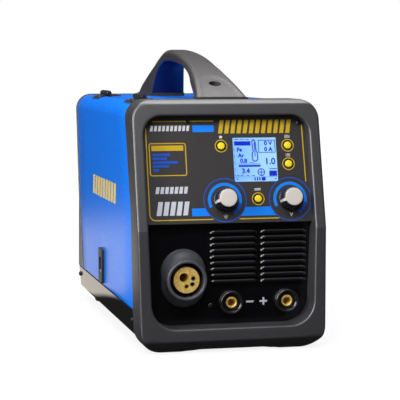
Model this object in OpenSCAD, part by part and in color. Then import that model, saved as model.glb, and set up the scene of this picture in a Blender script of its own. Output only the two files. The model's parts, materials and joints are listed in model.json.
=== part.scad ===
// Compact MIG welding machine: casing, control panel, sockets, side door, wire feeder and fan.
// The machine stands on z = 0 with its front towards -Y. Inside each module y is counted from the
// bezel's front plane at the kink, and machine() moves the result so that the origin is central.

/* [Casing] */
// Width of the bezels at their widest
body_w = 230; // [226:1:240]
// Height of the front bezel
body_h = 297.5; // [296:0.5:304]
// Depth of the casing, from the front plane to the rear bezel's back at the kink
body_d = 470; // [468:1:480]
// Height of the line where the front starts to lean back
kink_h = 145; // [143:1:147]
// Lean of the front above that line, in degrees
front_lean = 14.1; // [13:0.1:15]
// Lean of the rear bezel's back above that line, in degrees
rear_lean = 9.5; // [9:0.1:10]
// How far the front's lower edge stands forward of the kink
toe = 7.2; // [5:0.1:9]
// Depth of the front bezel's sides
bezel_depth = 41; // [39:1:44]
// Lean of the front bezel's upper back edge, in degrees
bezel_back_lean = 18.3; // [17:0.1:19]
// Wall of the moulded bezels
bezel_wall = 3; // [2.5:0.1:3.4]
// Rounding of the bezels' upper corners
top_r = 24; // [20:1:28]
// Rounding of the bezels' lower corners
bottom_r = 28; // [24:1:32]
// Narrowing of the bezel on each side at the floor
side_taper = 2.7; // [2:0.1:3]
// Step from the bezel's side in to the sheet metal
sheet_step = 3.5; // [3.3:0.1:4]
// Thickness of the casing's sheet metal
sheet = 1.5; // [1:0.1:2]
// Height of the tray's underside above the floor
tray_z = 15; // [13:0.5:17]
// Height of the tray's upper edge
tray_top = 45; // [43:0.5:48]

/* [Front opening] */
// Half width of the opening above the kink
opening_half = 101.5; // [100:0.5:103]
// Half width of the opening at its lower edge
opening_low_half = 98; // [95:0.5:99]
// Height of the opening's lower edge
opening_low = 29.5; // [28:0.5:31]
// Height of the opening's upper edge
opening_high = 278.4; // [276:0.2:279]
// Depth of the control panel behind the bezel's face
panel_recess = 14; // [13:0.5:15]
// Depth of the lower panel behind the front plane
lower_recess = 26; // [25:0.5:28]
// Thickness of the front panels
panel_t = 2; // [1.5:0.1:2.2]
// Height of the control panel's lower edge above the kink, along the panel
lip_v = 10.3; // [9:0.1:12]

/* [Controls] */
// Sideways place of the display and the centre button
display_u = 35.7; // [34:0.1:37]
// Height of the display's middle above the kink, along the panel
display_v = 86.4; // [85:0.1:88]
// Width of the display window
display_w = 54.2; // [50:0.1:56]
// Height of the display window
display_h = 54; // [50:0.1:56]
// Distance between the two knobs
knob_pitch = 80.6; // [78:0.1:84]
// Height of the knobs and the centre button above the kink, along the panel
knob_v = 37.8; // [36:0.1:40]
// Diameter of a knob at its skirt
knob_d = 29; // [26:0.5:30]
// Height of a knob's cap above the panel
knob_h = 18.6; // [16:0.1:22]
// Diameter of a knob's cap
cap_d = 21.4; // [20:0.1:22]
// Diameter of a knob's shaft
shaft_d = 6; // [5:0.5:6.5]
// Direction of the knobs' pointers at rest, in degrees from the right, anticlockwise
pointer_angle = 196; // [190:1:200]
// Diameter of a push button
button_d = 8.6; // [8:0.1:9.4]
// How far a push button stands out of the panel
button_proud = 1.8; // [1.4:0.1:2.4]

/* [Sockets] */
// Sideways place of the torch socket
torch_x = -55; // [-58:0.5:-54]
// Height of the torch socket
torch_z = 86; // [85:0.5:89]
// Diameter of the torch socket's brass body
torch_d = 31; // [30:0.5:33]
// Diameter of the shroud's bore
shroud_bore = 41; // [38:0.5:42]
// Diameter of the shroud's rim
shroud_rim = 48; // [46:0.5:50]
// Length of the shroud
shroud_l = 24; // [22:0.5:25]
// Sideways place of the wire bore from the torch socket's middle
wire_dx = -3.2; // [-4:0.1:-3]
// Height of the wire bore above the torch socket's middle
wire_dz = 3; // [3:0.1:4.5]
// Diameter of the wire bore
wire_bore = 11; // [9:0.5:11.5]
// Sideways place of the minus socket
minus_x = 1.5; // [-2:0.5:2]
// Distance between the output sockets
socket_pitch = 68.5; // [66:0.5:70]
// Height of the output sockets
socket_z = 56.5; // [55:0.5:59]
// Diameter of an output socket's body
socket_d = 28.5; // [27:0.5:31]
// How far an output socket stands out of the lower panel
socket_l = 15; // [14:0.5:18]
// Diameter of an output socket's bore
socket_bore = 9.2; // [9:0.1:9.6]

/* [Louvres] */
// Number of louvres in a column
louvre_n = 9; // [7:1:9]
// Distance from louvre to louvre
louvre_pitch = 7.43; // [7.2:0.01:7.6]
// Length of a louvre
louvre_w = 59.5; // [50:0.5:60]
// How far a louvre stands out
louvre_out = 4; // [3:0.1:5]
// Clear width between the two columns
louvre_gap = 3; // [2:0.5:8]
// Left end of the left column
louvre_x = -23.5; // [-25:0.5:-22]
// Height of the lowest louvre's lower edge
louvre_z = 78.5; // [77:0.5:80]

/* [Door] */
// Sideways place of the door's hinge line
hinge_x = -87; // [-88:0.5:-86]
// Diameter of a hinge knuckle
knuckle_d = 8; // [7:0.5:9]
// Diameter of a hinge pin
pin_d = 4; // [3:0.5:5]
// Length of a hinge
hinge_l = 50; // [40:1:60]
// Place of the front hinge
hinge_y1 = 105; // [100:1:110]
// Place of the rear hinge
hinge_y2 = 355; // [340:1:420]
// Gap around the door
door_gap = 1.8; // [1.7:0.1:2.2]
// Place of the latch along the door
latch_y = 269; // [255:1:285]
// Height of the latch's middle
latch_z = 72; // [71:0.5:74]
// Width of the latch
latch_w = 26; // [24:0.5:28]
// Height of the latch
latch_h = 46; // [44:0.5:48]
// Travel of the latch's slide
latch_travel = 6; // [4:0.5:6]

/* [Handle] */
// Front end of the handle's foot
handle_front = 57; // [56:1:60]
// Rear end of the handle's foot
handle_rear = 430; // [426:1:436]
// Height of the handle above the casing's top
handle_h = 64; // [61:0.5:68]
// Half width of the handle's feet
handle_foot_half = 31.7; // [30:0.1:34]
// Half width of the grip
grip_half = 17.5; // [16:0.5:19]
// Thickness of the gasket between the handle and the front bezel
gasket_t = 2; // [1.5:0.1:3]
// Thickness of the inner liner
liner_t = 2.4; // [2:0.1:3]

/* [Wire feeder] */
// Place of the drive roll
roll_y = 115; // [113:0.5:117]
// Diameter of the drive roll
drive_d = 30; // [29:0.5:31]
// Diameter of the pressure roll
pressure_d = 22; // [21:0.5:23]
// Width of the rolls
roll_w = 9; // [8:0.5:10]
// Gap between the rolls, which the wire fills
wire_gap = 1; // [0.8:0.1:1.2]
// Diameter of the drive shaft
drive_shaft_d = 8; // [7:0.5:9]
// Thickness of the feed plate
feed_plate_t = 6; // [5:0.5:8]
// Place of the pressure arm's pivot ahead of the rolls
arm_reach = 27; // [26:0.5:29]
// Place of the tensioner behind the rolls
tension_reach = 29; // [28:0.5:31]
// Sideways place of the tensioner from the wire
tension_dx = -13; // [-14:0.5:-12.5]

/* [Spool] */
// Diameter of the spool
spool_d = 200; // [190:1:204]
// Width of the spool
spool_w = 55; // [50:1:56]
// Diameter of the spool's bore
spool_bore = 51; // [48:0.5:54]
// Diameter of the wound wire
coil_d = 176; // [140:1:190]
// Distance of the spool's axis from the rear bezel's back
spool_y = 124; // [123:1:126]
// Height of the spool's axis
spool_z = 158; // [156:1:162]
// Diameter of the spindle
spindle_d = 16; // [14:0.5:20]

/* [Inside] */
// Sideways place of the partition
partition_x = -24; // [-25:0.5:-22]
// Outer width of the fan's frame
fan_w = 120; // [110:1:122]
// Depth of the fan's frame
fan_t = 25; // [22:1:30]
// Sideways place of the fan
fan_x = 40; // [38:0.5:40]
// Height of the fan
fan_z = 156; // [154:1:160]
// Diameter of a rubber foot
foot_d = 30; // [24:1:34]
// Sideways place of the feet
foot_x = 82; // [76:1:86]

/* [Hidden] */

// clearances
running = 0.03;      // a shaft in its bore, on the radius
seat = 0.3;          // between pieces that are set side by side
slip = 0.15;         // a moulded piece in its cut-out

// casing
half_w = body_w / 2;
side_x = half_w - sheet_step;
top_z = body_h - 2.5;
rear_h = body_h - 1;
kink_x = half_w;
foot_line_x = half_w - side_taper;
brow_h = body_h - 5.2;
brow_y = (brow_h - kink_h) * tan(front_lean);
brow_back_y = brow_y + 7.7;
chin_h = 15;
chin_back_y = 10;
bezel_back_kink = kink_h + 13;
bezel_back_top = bezel_depth + (body_h - bezel_back_kink) * tan(bezel_back_lean);
rear_top_y = body_d + (rear_h - kink_h) * tan(rear_lean);
mid_y = (rear_top_y - toe) / 2;
relief_h = 3;
relief_half = 58;
ear_l = 24;

// door and covers follow these two lines, given as y at height z
function front_line(z) = z < bezel_back_kink ? bezel_depth
  : bezel_depth + (z - bezel_back_kink) * tan(bezel_back_lean);
rear_rim = 5;
function rear_line(z) = body_d - rear_rim
  + (z < kink_h ? (z - kink_h) * tan(16.2) : (z - kink_h) * tan(rear_lean));
rear_half = side_x + 1;
rear_panel_y = body_d - 16;
rear_low_z = tray_top + 1.5;
rear_opening_half = side_x - 13.5;
rear_opening_low = rear_low_z + 15.5;
rear_opening_high = body_h - 21.5;
tray_back = body_d - 12;
tray_slope = 0.6;

// control panel: a point of its face, u sideways and v up the slope from the kink
function face_y(v) = v * sin(front_lean) + panel_recess * cos(front_lean);
function face_z(v) = kink_h + v * cos(front_lean) - panel_recess * sin(front_lean);
knob_u = [display_u - knob_pitch / 2, display_u + knob_pitch / 2];
button_places = [[-5.6, 103.3], [77, 103.3], [76.8, 80.6], [36.3, knob_v + 0.8]];
panel_screws = [[-45.8, 133.2], [92.5, 131]];
panel_half = opening_half + 4.5;
panel_top_v = (opening_high - kink_h) / cos(front_lean) + 7;
lip_return = 12;
board_gap = 9.5;
board_t = 1.6;
bushing_d = 9;
window_t = 2;
button_flange = 12;
button_back = 4.2;

// sockets
wire_x = torch_x + wire_dx;
wire_z = torch_z + wire_dz;
torch_front = lower_recess - shroud_l + 4.5;
torch_tail = lower_recess + 44;
contact_places = [[7.7, 2.1], [6.7, -4.9]];
gas_hole = [0, -7.6];
contact_sleeve_d = 5.4;
contact_bore = 4;
socket_x = [minus_x, minus_x + socket_pitch];
socket_insert_d = 13.4;
socket_neck_d = 21;
panel_plug = [-21.5, 52];

// door
hinge_z = top_z + knuckle_d / 2 + seat;
door_low = tray_top + 1.5;
seam = 3;
leaf_t = 1.5;
leaf_w = 13;
leaf_wrap = 34;
bend_r = top_r - sheet_step + 1;
bend_centre = [-side_x + bend_r, top_z - bend_r];
latch_proud = sheet_step;
pocket_w = 16;
pocket_h = 20;
slide_w = pocket_w + 2;
slide_h = pocket_h + 10;
slide_t = 3;
slide_low = -17;
housing_deep = 12;
slide_back = -housing_deep + 1.4 + seat;
tongue_w = 11;

// handle
handle_z = body_h + gasket_t;
handle_top = top_z + handle_h;
grip_under = 16;
gap_front = 41;
gap_rear = 54;
recess_d = 15;
handle_web = 9;
liner_front = handle_front + 62;
handle_screw_y = [handle_front + 36.5, handle_rear - 26];

// wire feeder
drive_z = wire_z - drive_d / 2 - wire_gap / 2;
pressure_z = wire_z + pressure_d / 2 + wire_gap / 2;
plate_x = wire_x + 15.5;
arm_pivot = [roll_y - arm_reach, pressure_z + 6];
arm_pin_d = 7;
arm_t = 16;
arm_low = pressure_z - 4;
arm_out_x = wire_x + tension_dx - 7;
arm_in_x = wire_x + 7.5;
tension_x = wire_x + tension_dx;
tension_pivot = [roll_y + tension_reach, drive_z - 8];
tension_rod_d = 6;
tension_pin_d = 5;
axle_d = 6;
tension_cup_low = arm_low + arm_t + 3;
tension_cup_h = 8;
tension_knob_low = tension_cup_low + tension_cup_h + seat;
tension_knob_h = 22;
tension_knob_d = 22;
guide_d = 8;

// spool
spool_at = [body_d - spool_y, spool_z];
spool_in_x = partition_x - 15.5;
spool_out_x = spool_in_x - spool_w;
flange_t = 3.5;
barrel_d = 104;
hub_d = spool_bore - 0.4;
hub_in_x = spool_in_x + 2.5;
hub_out_x = spool_out_x - 2.5;
spindle_out_x = hub_out_x - 8;

// inside
floor_z = tray_z + sheet;
motor_d = 50;
gearbox_w = 62;
grille_rings = 6;
fan_blades = 7;
fan_hub_d = 40;
fan_shaft_d = 4;
sink_fins = 9;
sink_w = 84;
sink_l = 170;
choke_d = 96;
choke_y = rear_panel_y - fan_t - choke_d / 2 - 51;
sink_y = rear_panel_y - fan_t - sink_l - 34;
sink_z = 118;
board_z = sink_z + 46;
strip_y = bezel_depth + ear_l + 4;
cover_screws = [for (y = [bezel_depth + 49, body_d - 220, body_d - 70]) [y, tray_top + 10]];
tray_screws = [[bezel_depth + 11, 33], [tray_back + 4, 35]];
foot_places = [for (x = [-foot_x, foot_x], y = [78, body_d - 46]) [x, y]];
rocker_x = 62;
rocker_z = rear_opening_high - 30;
gland_x = 62;
gland_z = 78;
gas_x = 32 - rear_opening_half;
gas_z = 76;
hose_d = 7;
hose_x = -28;
hose_z = floor_z + 8;
hose_r = 10;
valve_y = rear_panel_y - 22.2;
stub_y = lower_recess + 24;

// ------------------------ tools for every part

module machine() {
  translate([0, -mid_y, 0]) children();
}

// a flat shape of x and z, made solid from y0 to y1
module along_y(y0, y1) {
  translate([0, y1, 0]) rotate([90, 0, 0]) linear_extrude(y1 - y0) children();
}

// a flat shape of y and z, made solid from x0 to x1
module along_x(x0, x1) {
  translate([x0, 0, 0]) rotate([90, 0, 90]) linear_extrude(x1 - x0) children();
}

// a cylinder along x, from x0 to x1, at [y, z]
module rod_x(x0, x1, at, d) {
  translate([x0, at[0], at[1]]) rotate([0, 90, 0]) cylinder(h = x1 - x0, d = d, $fn = 64);
}

// a cylinder along y, from y0 to y1, at [x, z]
module rod_y(y0, y1, at, d) {
  translate([at[0], y1, at[1]]) rotate([90, 0, 0]) cylinder(h = y1 - y0, d = d, $fn = 64);
}

// puts children on the control panel's face, z outward and y up the slope
module on_panel(u, v) {
  translate([u, face_y(v), face_z(v)]) rotate([90 - front_lean, 0, 0]) children();
}

module box(low, high) {
  translate(low) cube(high - low);
}

function unit(v) = v / norm(v);
function half_angle(a, p, b) = acos(unit(a - p) * unit(b - p)) / 2;
function tangent_run(a, p, b, r) = r / tan(half_angle(a, p, b));
function arc_centre(a, p, b, r) = p + unit(unit(a - p) + unit(b - p)) * r / sin(half_angle(a, p, b));

// a convex outline whose corners are rounded by true arcs
module rounded(points, radii) {
  n = len(points);
  polygon([for (i = [0:n - 1])
    let (a = points[(i + n - 1) % n], p = points[i], b = points[(i + 1) % n],
      run = tangent_run(a, p, b, radii[i]))
    for (q = [p + unit(a - p) * run, p + unit(b - p) * run]) q]);
  for (i = [0:n - 1])
    translate(arc_centre(points[(i + n - 1) % n], points[i], points[(i + 1) % n], radii[i]))
      circle(radii[i], $fn = 64);
}

module rounded_box_2d(w, h, r) {
  rounded([[-w / 2, -h / 2], [w / 2, -h / 2], [w / 2, h / 2], [-w / 2, h / 2]], [r, r, r, r]);
}

function bezier(p, t) = pow(1 - t, 3) * p[0] + 3 * pow(1 - t, 2) * t * p[1]
  + 3 * (1 - t) * t * t * p[2] + t * t * t * p[3];
function curve(p, n) = [for (i = [0:n]) bezier(p, i / n)];

// ------------------------ casing

// outline of the front bezel from the front, moved in by a wall
module bezel_outline(inset = 0) {
  rounded(
    [[-foot_line_x + inset, inset], [foot_line_x - inset, inset],
    [kink_x - inset, kink_h], [kink_x - inset, body_h - inset],
    [-kink_x + inset, body_h - inset], [-kink_x + inset, kink_h]],
    [bottom_r - inset, bottom_r - inset, 4, top_r - inset, top_r - inset, 4]);
}

// outline of the rear bezel
module rear_outline(inset = 0) {
  half = rear_half - inset;
  r = top_r - sheet_step + 2 - inset;
  rounded([[-half, rear_low_z + inset], [half, rear_low_z + inset],
      [half, rear_h - inset], [-half, rear_h - inset]], [0.6, 0.6, r, r]);
}

// opening of the front bezel, moved out by a wall
module front_opening(grow = 0) {
  rounded(
    [[-opening_low_half - grow, opening_low - grow], [opening_low_half + grow, opening_low - grow],
    [opening_half + grow, kink_h], [opening_half + grow, opening_high + grow],
    [-opening_half - grow, opening_high + grow], [-opening_half - grow, kink_h]],
    [30 + grow, 30 + grow, 4, 22 + grow, 22 + grow, 4]);
}

// front of the bezel from the side, moved back by a wall, closed at back_y
module front_profile(inset, back) {
  polygon(concat(
    [[chin_back_y + inset, 0], [-toe + inset, chin_h], [inset, kink_h],
    [brow_y + inset, brow_h], [brow_back_y + inset, body_h]], back));
}

// everything behind the faces of the two front panels
module behind_panels() {
  lip_z = face_z(lip_v);
  lip_y = face_y(lip_v);
  polygon([[lower_recess, -1], [lower_recess, lip_z - 0.6], [lip_y, lip_z - 0.6], [lip_y, lip_z],
    [lip_y + (body_h + 1 - lip_z) * tan(front_lean), body_h + 1],
    [body_d, body_h + 1], [body_d, -1]]);
}

module front_bezel() {
  inner_x = half_w - bezel_wall;
  ear_x = side_x - sheet - seat;
  color("dimgray") machine() {
    difference() {
      intersection() {
        along_y(-toe - 1, bezel_back_top + 1) bezel_outline();
        along_x(-half_w - 1, half_w + 1)
          front_profile(0, [[bezel_back_top, body_h], [bezel_depth, bezel_back_kink],
                   [bezel_depth, 0]]);
      }
      along_y(-toe - 2, bezel_back_top + 2) front_opening();
      intersection() {
        along_y(-toe, bezel_back_top + 2) bezel_outline(bezel_wall);
        along_x(-half_w, half_w) behind_panels();
      }
      intersection() {
        along_y(-toe, bezel_back_top + 2) difference() {
          bezel_outline(bezel_wall);
          front_opening(bezel_wall);
        }
        along_x(-half_w, half_w)
          front_profile(bezel_wall + 0.6, [[body_d, body_h], [body_d, 0]]);
      }
      along_y(-toe - 2, bezel_depth + 1)
        polygon([[-relief_half, -1], [-relief_half, 0], [-relief_half + 18, relief_h],
            [relief_half - 18, relief_h], [relief_half, 0], [relief_half, -1]]);
    }
    // ears behind the tray's sides, which the tray's front screws hold
    for (s = [-1, 1]) difference() {
      mirror([s < 0 ? 1 : 0, 0, 0]) union() {
        box([ear_x - bezel_wall, lower_recess + panel_t + 1, 26],
          [ear_x, bezel_depth + ear_l, 40]);
        box([ear_x - bezel_wall, lower_recess + panel_t + 1, 26],
          [side_x, bezel_depth - 3, 40]);
      }
      rod_x(-half_w, half_w, tray_screws[0], 3);
    }
  }
}

// back skin of the rear bezel from the side, moved forward by a wall
function rear_back(inset) = [[rear_top_y - inset, rear_h], [body_d - inset, kink_h],
              [body_d + 5 - inset, rear_low_z]];

module rear_opening(grow = 0) {
  translate([0, (rear_opening_low + rear_opening_high) / 2])
    rounded_box_2d(2 * (rear_opening_half + grow),
           rear_opening_high - rear_opening_low + 2 * grow, 16 + grow);
}

module rear_bezel() {
  front_y = body_d - 60;
  color("dimgray") machine() difference() {
    union() {
      intersection() {
        along_y(front_y, rear_top_y + 1) rear_outline();
        along_x(-half_w, half_w) polygon(concat(
          [[rear_line(rear_low_z), rear_low_z], [rear_line(kink_h), kink_h],
          [rear_line(rear_h), rear_h]], rear_back(0)));
      }
      intersection() {
        along_y(rear_panel_y + sheet, rear_top_y + 1) rear_opening(bezel_wall);
        along_x(-half_w, half_w)
          polygon(concat([[front_y, rear_low_z], [front_y, rear_h]], rear_back(0)));
      }
    }
    along_y(front_y, rear_top_y + 2) rear_opening();
    intersection() {
      along_y(front_y, rear_top_y + 2) difference() {
        rear_outline(bezel_wall);
        rear_opening(bezel_wall);
      }
      along_x(-half_w, half_w) polygon(concat(
        [[front_y, rear_low_z], [front_y, rear_h]], rear_back(bezel_wall + 0.6)));
    }
    // the rear panel and its flange pass through here
    along_y(front_y, rear_panel_y + sheet) rear_outline(bezel_wall);
  }
}

// bent sheet: a channel open at the top, from x = -half to half
module tray_section(half, low, high, r) {
  difference() {
    rounded([[-half, low], [half, low], [half, high], [-half, high]], [r, r, 0.2, 0.2]);
    translate([0, sheet])
      rounded([[-half + sheet, low], [half - sheet, low], [half - sheet, high + 2],
          [-half + sheet, high + 2]],
          [r - sheet, r - sheet, 0.2, 0.2]);
  }
}

module base_tray() {
  lip_back = rear_line(tray_top) - 8;
  back_top = tray_back + (tray_top - tray_z) * tray_slope;
  color("black") machine() difference() {
    union() {
      intersection() {
        union() {
          along_y(bezel_depth + door_gap / 2, body_d + 20)
            tray_section(side_x, tray_z, tray_top, 6);
          // sloping rear wall
          intersection() {
            along_y(tray_back - 10, body_d + 20)
              rounded([[-side_x, tray_z], [side_x, tray_z], [side_x, tray_top],
                  [-side_x, tray_top]], [6, 6, 0.2, 0.2]);
            along_x(-half_w, half_w)
              polygon([[tray_back - 1.8, tray_z], [back_top - 1.8, tray_top],
                  [back_top, tray_top], [tray_back, tray_z]]);
          }
        }
        along_x(-half_w, half_w)
          polygon([[0, tray_z], [0, tray_top], [back_top, tray_top], [tray_back, tray_z]]);
      }
      // floor tongue that reaches into the front bezel
      box([-90, lower_recess + panel_t + 2, tray_z], [90, bezel_depth + 2, tray_z + sheet]);
      // lip under the door, and the strip that the fixed cover is screwed to
      box([-side_x + 1, bezel_depth + 8, tray_top - sheet],
        [-side_x + 12, lip_back, tray_top]);
      box([side_x - 2 * sheet - slip, strip_y, tray_z + 10],
        [side_x - sheet + 0.05, lip_back, tray_top]);
      box([side_x - 2 * sheet - slip, strip_y, tray_top - 1],
        [side_x - sheet - slip, lip_back, tray_top + 18]);
    }
    for (p = foot_places) translate([p[0], p[1], tray_z - 1]) cylinder(h = 5, d = 5, $fn = 32);
    for (p = tray_screws) rod_x(-half_w, half_w, p, 3.4);
    for (p = cover_screws) rod_x(0, half_w, p, 3.4);
  }
}

module rubber_feet() {
  color("black") machine() for (p = foot_places) translate([p[0], p[1], 0]) difference() {
    union() {
      cylinder(h = 3, d1 = foot_d - 3, d2 = foot_d, $fn = 48);
      translate([0, 0, 3]) cylinder(h = tray_z - 3, d = foot_d, $fn = 48);
    }
    translate([0, 0, -1]) cylinder(h = 7, d = 11, $fn = 32);
    cylinder(h = tray_z + 1, d = 4.4, $fn = 32);
  }
}

// side view of the sheet between the bezels
module sheet_side(low) {
  polygon([[front_line(low) + door_gap, low], [front_line(low) + door_gap, bezel_back_kink],
      [front_line(top_z + 1) + door_gap, top_z + 1],
      [rear_line(top_z + 1) - door_gap, top_z + 1], [rear_line(kink_h) - door_gap, kink_h],
      [rear_line(low) - door_gap, low]]);
}

// section of a sheet bent over one top corner; side is -1 for left and 1 for right
module corner_section(side, top_end_x, low) {
  r = bend_r;
  intersection() {
    difference() {
      rounded([[-side_x, low - 30], [side_x, low - 30], [side_x, top_z], [-side_x, top_z]],
          [1, 1, r, r]);
      rounded([[-side_x + sheet, low - 40], [side_x - sheet, low - 40],
          [side_x - sheet, top_z - sheet], [-side_x + sheet, top_z - sheet]],
          [1, 1, r - sheet, r - sheet]);
    }
    polygon([[side * (side_x + 1), low], [side * (side_x + 1), top_z + 1],
        [top_end_x, top_z + 1], [top_end_x, top_z - 30], [side * 20, top_z - 30],
        [side * 20, low]]);
  }
}

module right_cover() {
  vent_w = 66;
  vent_h = 4;
  color("royalblue") machine() difference() {
    union() {
      intersection() {
        along_y(bezel_depth, rear_top_y)
          corner_section(1, hinge_x + seam, tray_top + 1.5);
        along_x(hinge_x, half_w) sheet_side(tray_top + 1.5);
      }
      // gutter under the seam beside the door
      box([hinge_x + seam, bezel_back_top + 12, top_z - 8],
        [hinge_x + seam + sheet, rear_line(top_z) - 14, top_z - 0.5]);
    }
    for (column = [0, 1], row = [0:9])
      translate([side_x - 5, body_d - 180 + column * 80, 90 + row * 9]) cube([10, vent_w, vent_h]);
    for (y = handle_screw_y) translate([0, y, top_z - 5]) cylinder(h = 10, d = 4.4, $fn = 32);
    for (p = cover_screws) rod_x(side_x - 4, half_w, p, 3.4);
  }
}

module partition_wall() {
  front_high = face_y(panel_top_v) + 40;
  color("silver") machine() difference() {
    union() {
      along_x(partition_x, partition_x + sheet)
        polygon([[62, floor_z + 0.2], [62, kink_h], [front_high + 10, top_z - 8],
            [rear_panel_y - 6, top_z - 8], [rear_panel_y - 6, rear_opening_low + 2],
          [rear_line(rear_low_z) - 5, rear_low_z - 2],
          [rear_line(rear_low_z) - 5, floor_z + 0.2]]);
      box([partition_x, 62, floor_z], [partition_x + 14, body_d - 60, floor_z + sheet]);
    }
    // window for the gearbox
    along_x(partition_x - 1, partition_x + sheet + 1)
      translate([roll_y, drive_z]) rounded_box_2d(gearbox_w + 1, gearbox_w + 1, 6);
    rod_x(partition_x - 1, partition_x + sheet + 1, spool_at, 12);
    rod_x(partition_x - 1, partition_x + sheet + 1, [60 + 8, wire_z + 60], 18);
  }
}

module case_screw(head_d, head_h, shank_d, shank_l) {
  // head outward along +z, its seat at z = 0
  difference() {
    union() {
      cylinder(h = head_h * 0.6, d = head_d, $fn = 32);
      translate([0, 0, head_h * 0.6])
        cylinder(h = head_h * 0.4, d1 = head_d, d2 = head_d * 0.62, $fn = 32);
      translate([0, 0, -shank_l]) cylinder(h = shank_l + 0.1, d = shank_d, $fn = 32);
    }
    for (a = [0, 90]) rotate(a)
      translate([-head_d * 0.3, -0.5, head_h * 0.5]) cube([head_d * 0.6, 1, head_h]);
  }
}

module case_screws() {
  color("gray") machine() {
    for (s = [-1, 1], p = tray_screws)
      translate([s * side_x, p[0], p[1]]) rotate([0, s * 90, 0]) case_screw(6.6, 2.6, 2.9, 4.2);
    for (p = cover_screws) translate([side_x, p[0], p[1]]) rotate([0, 90, 0])
      case_screw(6.6, 2.6, 2.9, 5);
    for (p = panel_screws) on_panel(p[0], p[1]) case_screw(5.4, 2.2, 2.9, 7);
    translate([panel_plug[0], lower_recess, panel_plug[1]]) rotate([90, 0, 0])
      case_screw(5.4, 2, 2.9, 7);
    for (y = handle_screw_y) translate([0, y, handle_z + handle_web]) case_screw(8.6, 3, 3.9, handle_web + 12);
    for (x = [12 - rear_opening_half, rear_opening_half - 12],
       z = [30 + rear_opening_low, rear_opening_high - 30])
      translate([x, rear_panel_y + sheet, z]) rotate([-90, 0, 0]) case_screw(6.6, 2.6, 2.9, 6);
    for (x = [-1, 1], z = [-1, 1])
      translate([fan_x + x * 52.5, rear_panel_y + sheet + 2.4, fan_z + z * 52.5])
        rotate([-90, 0, 0]) case_screw(7, 2.6, 3.6, 12);
  }
}

// ------------------------ front

module control_panel() {
  color("darkslategray") machine() difference() {
    union() {
      on_panel(0, 0) translate([0, 0, -panel_t]) linear_extrude(panel_t)
        rounded([[-panel_half, lip_v], [panel_half, lip_v], [panel_half, panel_top_v],
            [-panel_half, panel_top_v]], [0.5, 0.5, 24, 24]);
      on_panel(0, 0) box([-opening_half + 0.5, lip_v, -lip_return],
        [opening_half - 0.5, lip_v + panel_t, -0.5]);
    }
    on_panel(display_u, display_v)
      box([-display_w / 2 - slip, -display_h / 2 - slip, -5],
        [display_w / 2 + slip, display_h / 2 + slip, 5]);
    for (p = button_places) on_panel(p[0], p[1])
      translate([0, 0, -5]) cylinder(h = 10, d = button_d + 2 * slip, $fn = 48);
    for (u = knob_u) on_panel(u, knob_v)
      translate([0, 0, -5]) cylinder(h = 10, d = bushing_d + 0.4, $fn = 48);
    for (p = panel_screws) on_panel(p[0], p[1])
      translate([0, 0, -5]) cylinder(h = 10, d = 3.4, $fn = 32);
  }
}

module display_window() {
  color("lightblue") machine() on_panel(display_u, display_v)
    translate([0, 0, -window_t]) linear_extrude(window_t - 0.15)
      rounded_box_2d(display_w, display_h, 1);
}

module control_board() {
  board_v0 = 18;
  color("darkgreen") machine() difference() {
    union() {
      on_panel(0, 0) box([-96, board_v0, -panel_t - board_gap - board_t],
               [98, panel_top_v - 12, -panel_t - board_gap]);
      // display module behind the window
      on_panel(display_u, display_v)
        box([-display_w / 2 - 3, -display_h / 2 - 3, -panel_t - board_gap - 0.1],
          [display_w / 2 + 3, display_h / 2 + 3, -panel_t - seat]);
      // switches behind the buttons
      for (p = button_places) on_panel(p[0], p[1])
        box([-3, -3, -panel_t - board_gap - 0.1], [3, 3, -button_back - 1.4]);
      // potentiometers, their bushings through the panel
      for (u = knob_u) on_panel(u, knob_v) {
        translate([0, 0, -panel_t - board_gap - 0.1]) cylinder(h = board_gap - 0.5, d = 16, $fn = 48);
        translate([0, 0, -panel_t - 2]) cylinder(h = panel_t + 1.6, d = bushing_d, $fn = 48);
      }
      // standoffs up to the panel
      for (u = [-90, -30, 92], v = [board_v0 + 6, panel_top_v - 22]) on_panel(u, v)
        translate([0, 0, -panel_t - board_gap - 0.1]) cylinder(h = board_gap, d = 7, $fn = 32);
      // components behind the board
      for (i = [0:4]) on_panel(-80 + i * 30, 50)
        box([-8, -8, -panel_t - board_gap - board_t - 6], [8, 8, -panel_t - board_gap - board_t + 0.1]);
    }
    for (u = knob_u) on_panel(u, knob_v)
      translate([0, 0, -panel_t - board_gap + 0.4])
        cylinder(h = 30, d = shaft_d + 2 * running, $fn = 64);
  }
}

module knob(u) {
  skirt_z = 1;
  machine() on_panel(u, knob_v) difference() {
    union() {
      translate([0, 0, skirt_z]) cylinder(h = 3, d = knob_d, $fn = 64);
      translate([0, 0, skirt_z + 3])
        cylinder(h = knob_h - skirt_z - 5, d1 = knob_d - 1.6, d2 = knob_d - 3.4, $fn = 64);
      translate([0, 0, knob_h - 2]) cylinder(h = 0.7, d = cap_d, $fn = 64);
    }
    translate([0, 0, -1]) cylinder(h = knob_h - 3, d = shaft_d, $fn = 64);
    for (i = [0:23]) rotate(i * 15) translate([knob_d / 2 + 0.2, 0, skirt_z + 3.5])
      cylinder(h = knob_h, d = 2, $fn = 24);
    rotate(pointer_angle) box([knob_d / 2 - 1.8, -1.6, 4.1], [knob_d, 1.6, knob_h]);
  }
  machine() on_panel(u, knob_v)
    translate([0, 0, -panel_t - board_gap + 0.8])
      cylinder(h = panel_t + board_gap + knob_h - 5, d = shaft_d, $fn = 64);
}

module knob_cap(u) {
  machine() on_panel(u, knob_v) union() {
    translate([0, 0, knob_h - 1.3]) cylinder(h = 1.3, d = cap_d, $fn = 64);
    rotate(pointer_angle) {
      box([cap_d / 2 - 3, -1.8, knob_h - 1.3], [knob_d / 2 - 0.4, 1.8, knob_h]);
      box([knob_d / 2 - 1.6, -1.5, 4.2], [knob_d / 2 - 0.4, 1.5, knob_h - 1]);
    }
  }
}

module left_knob() {
  color("black") knob(knob_u[0]);
}

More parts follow.
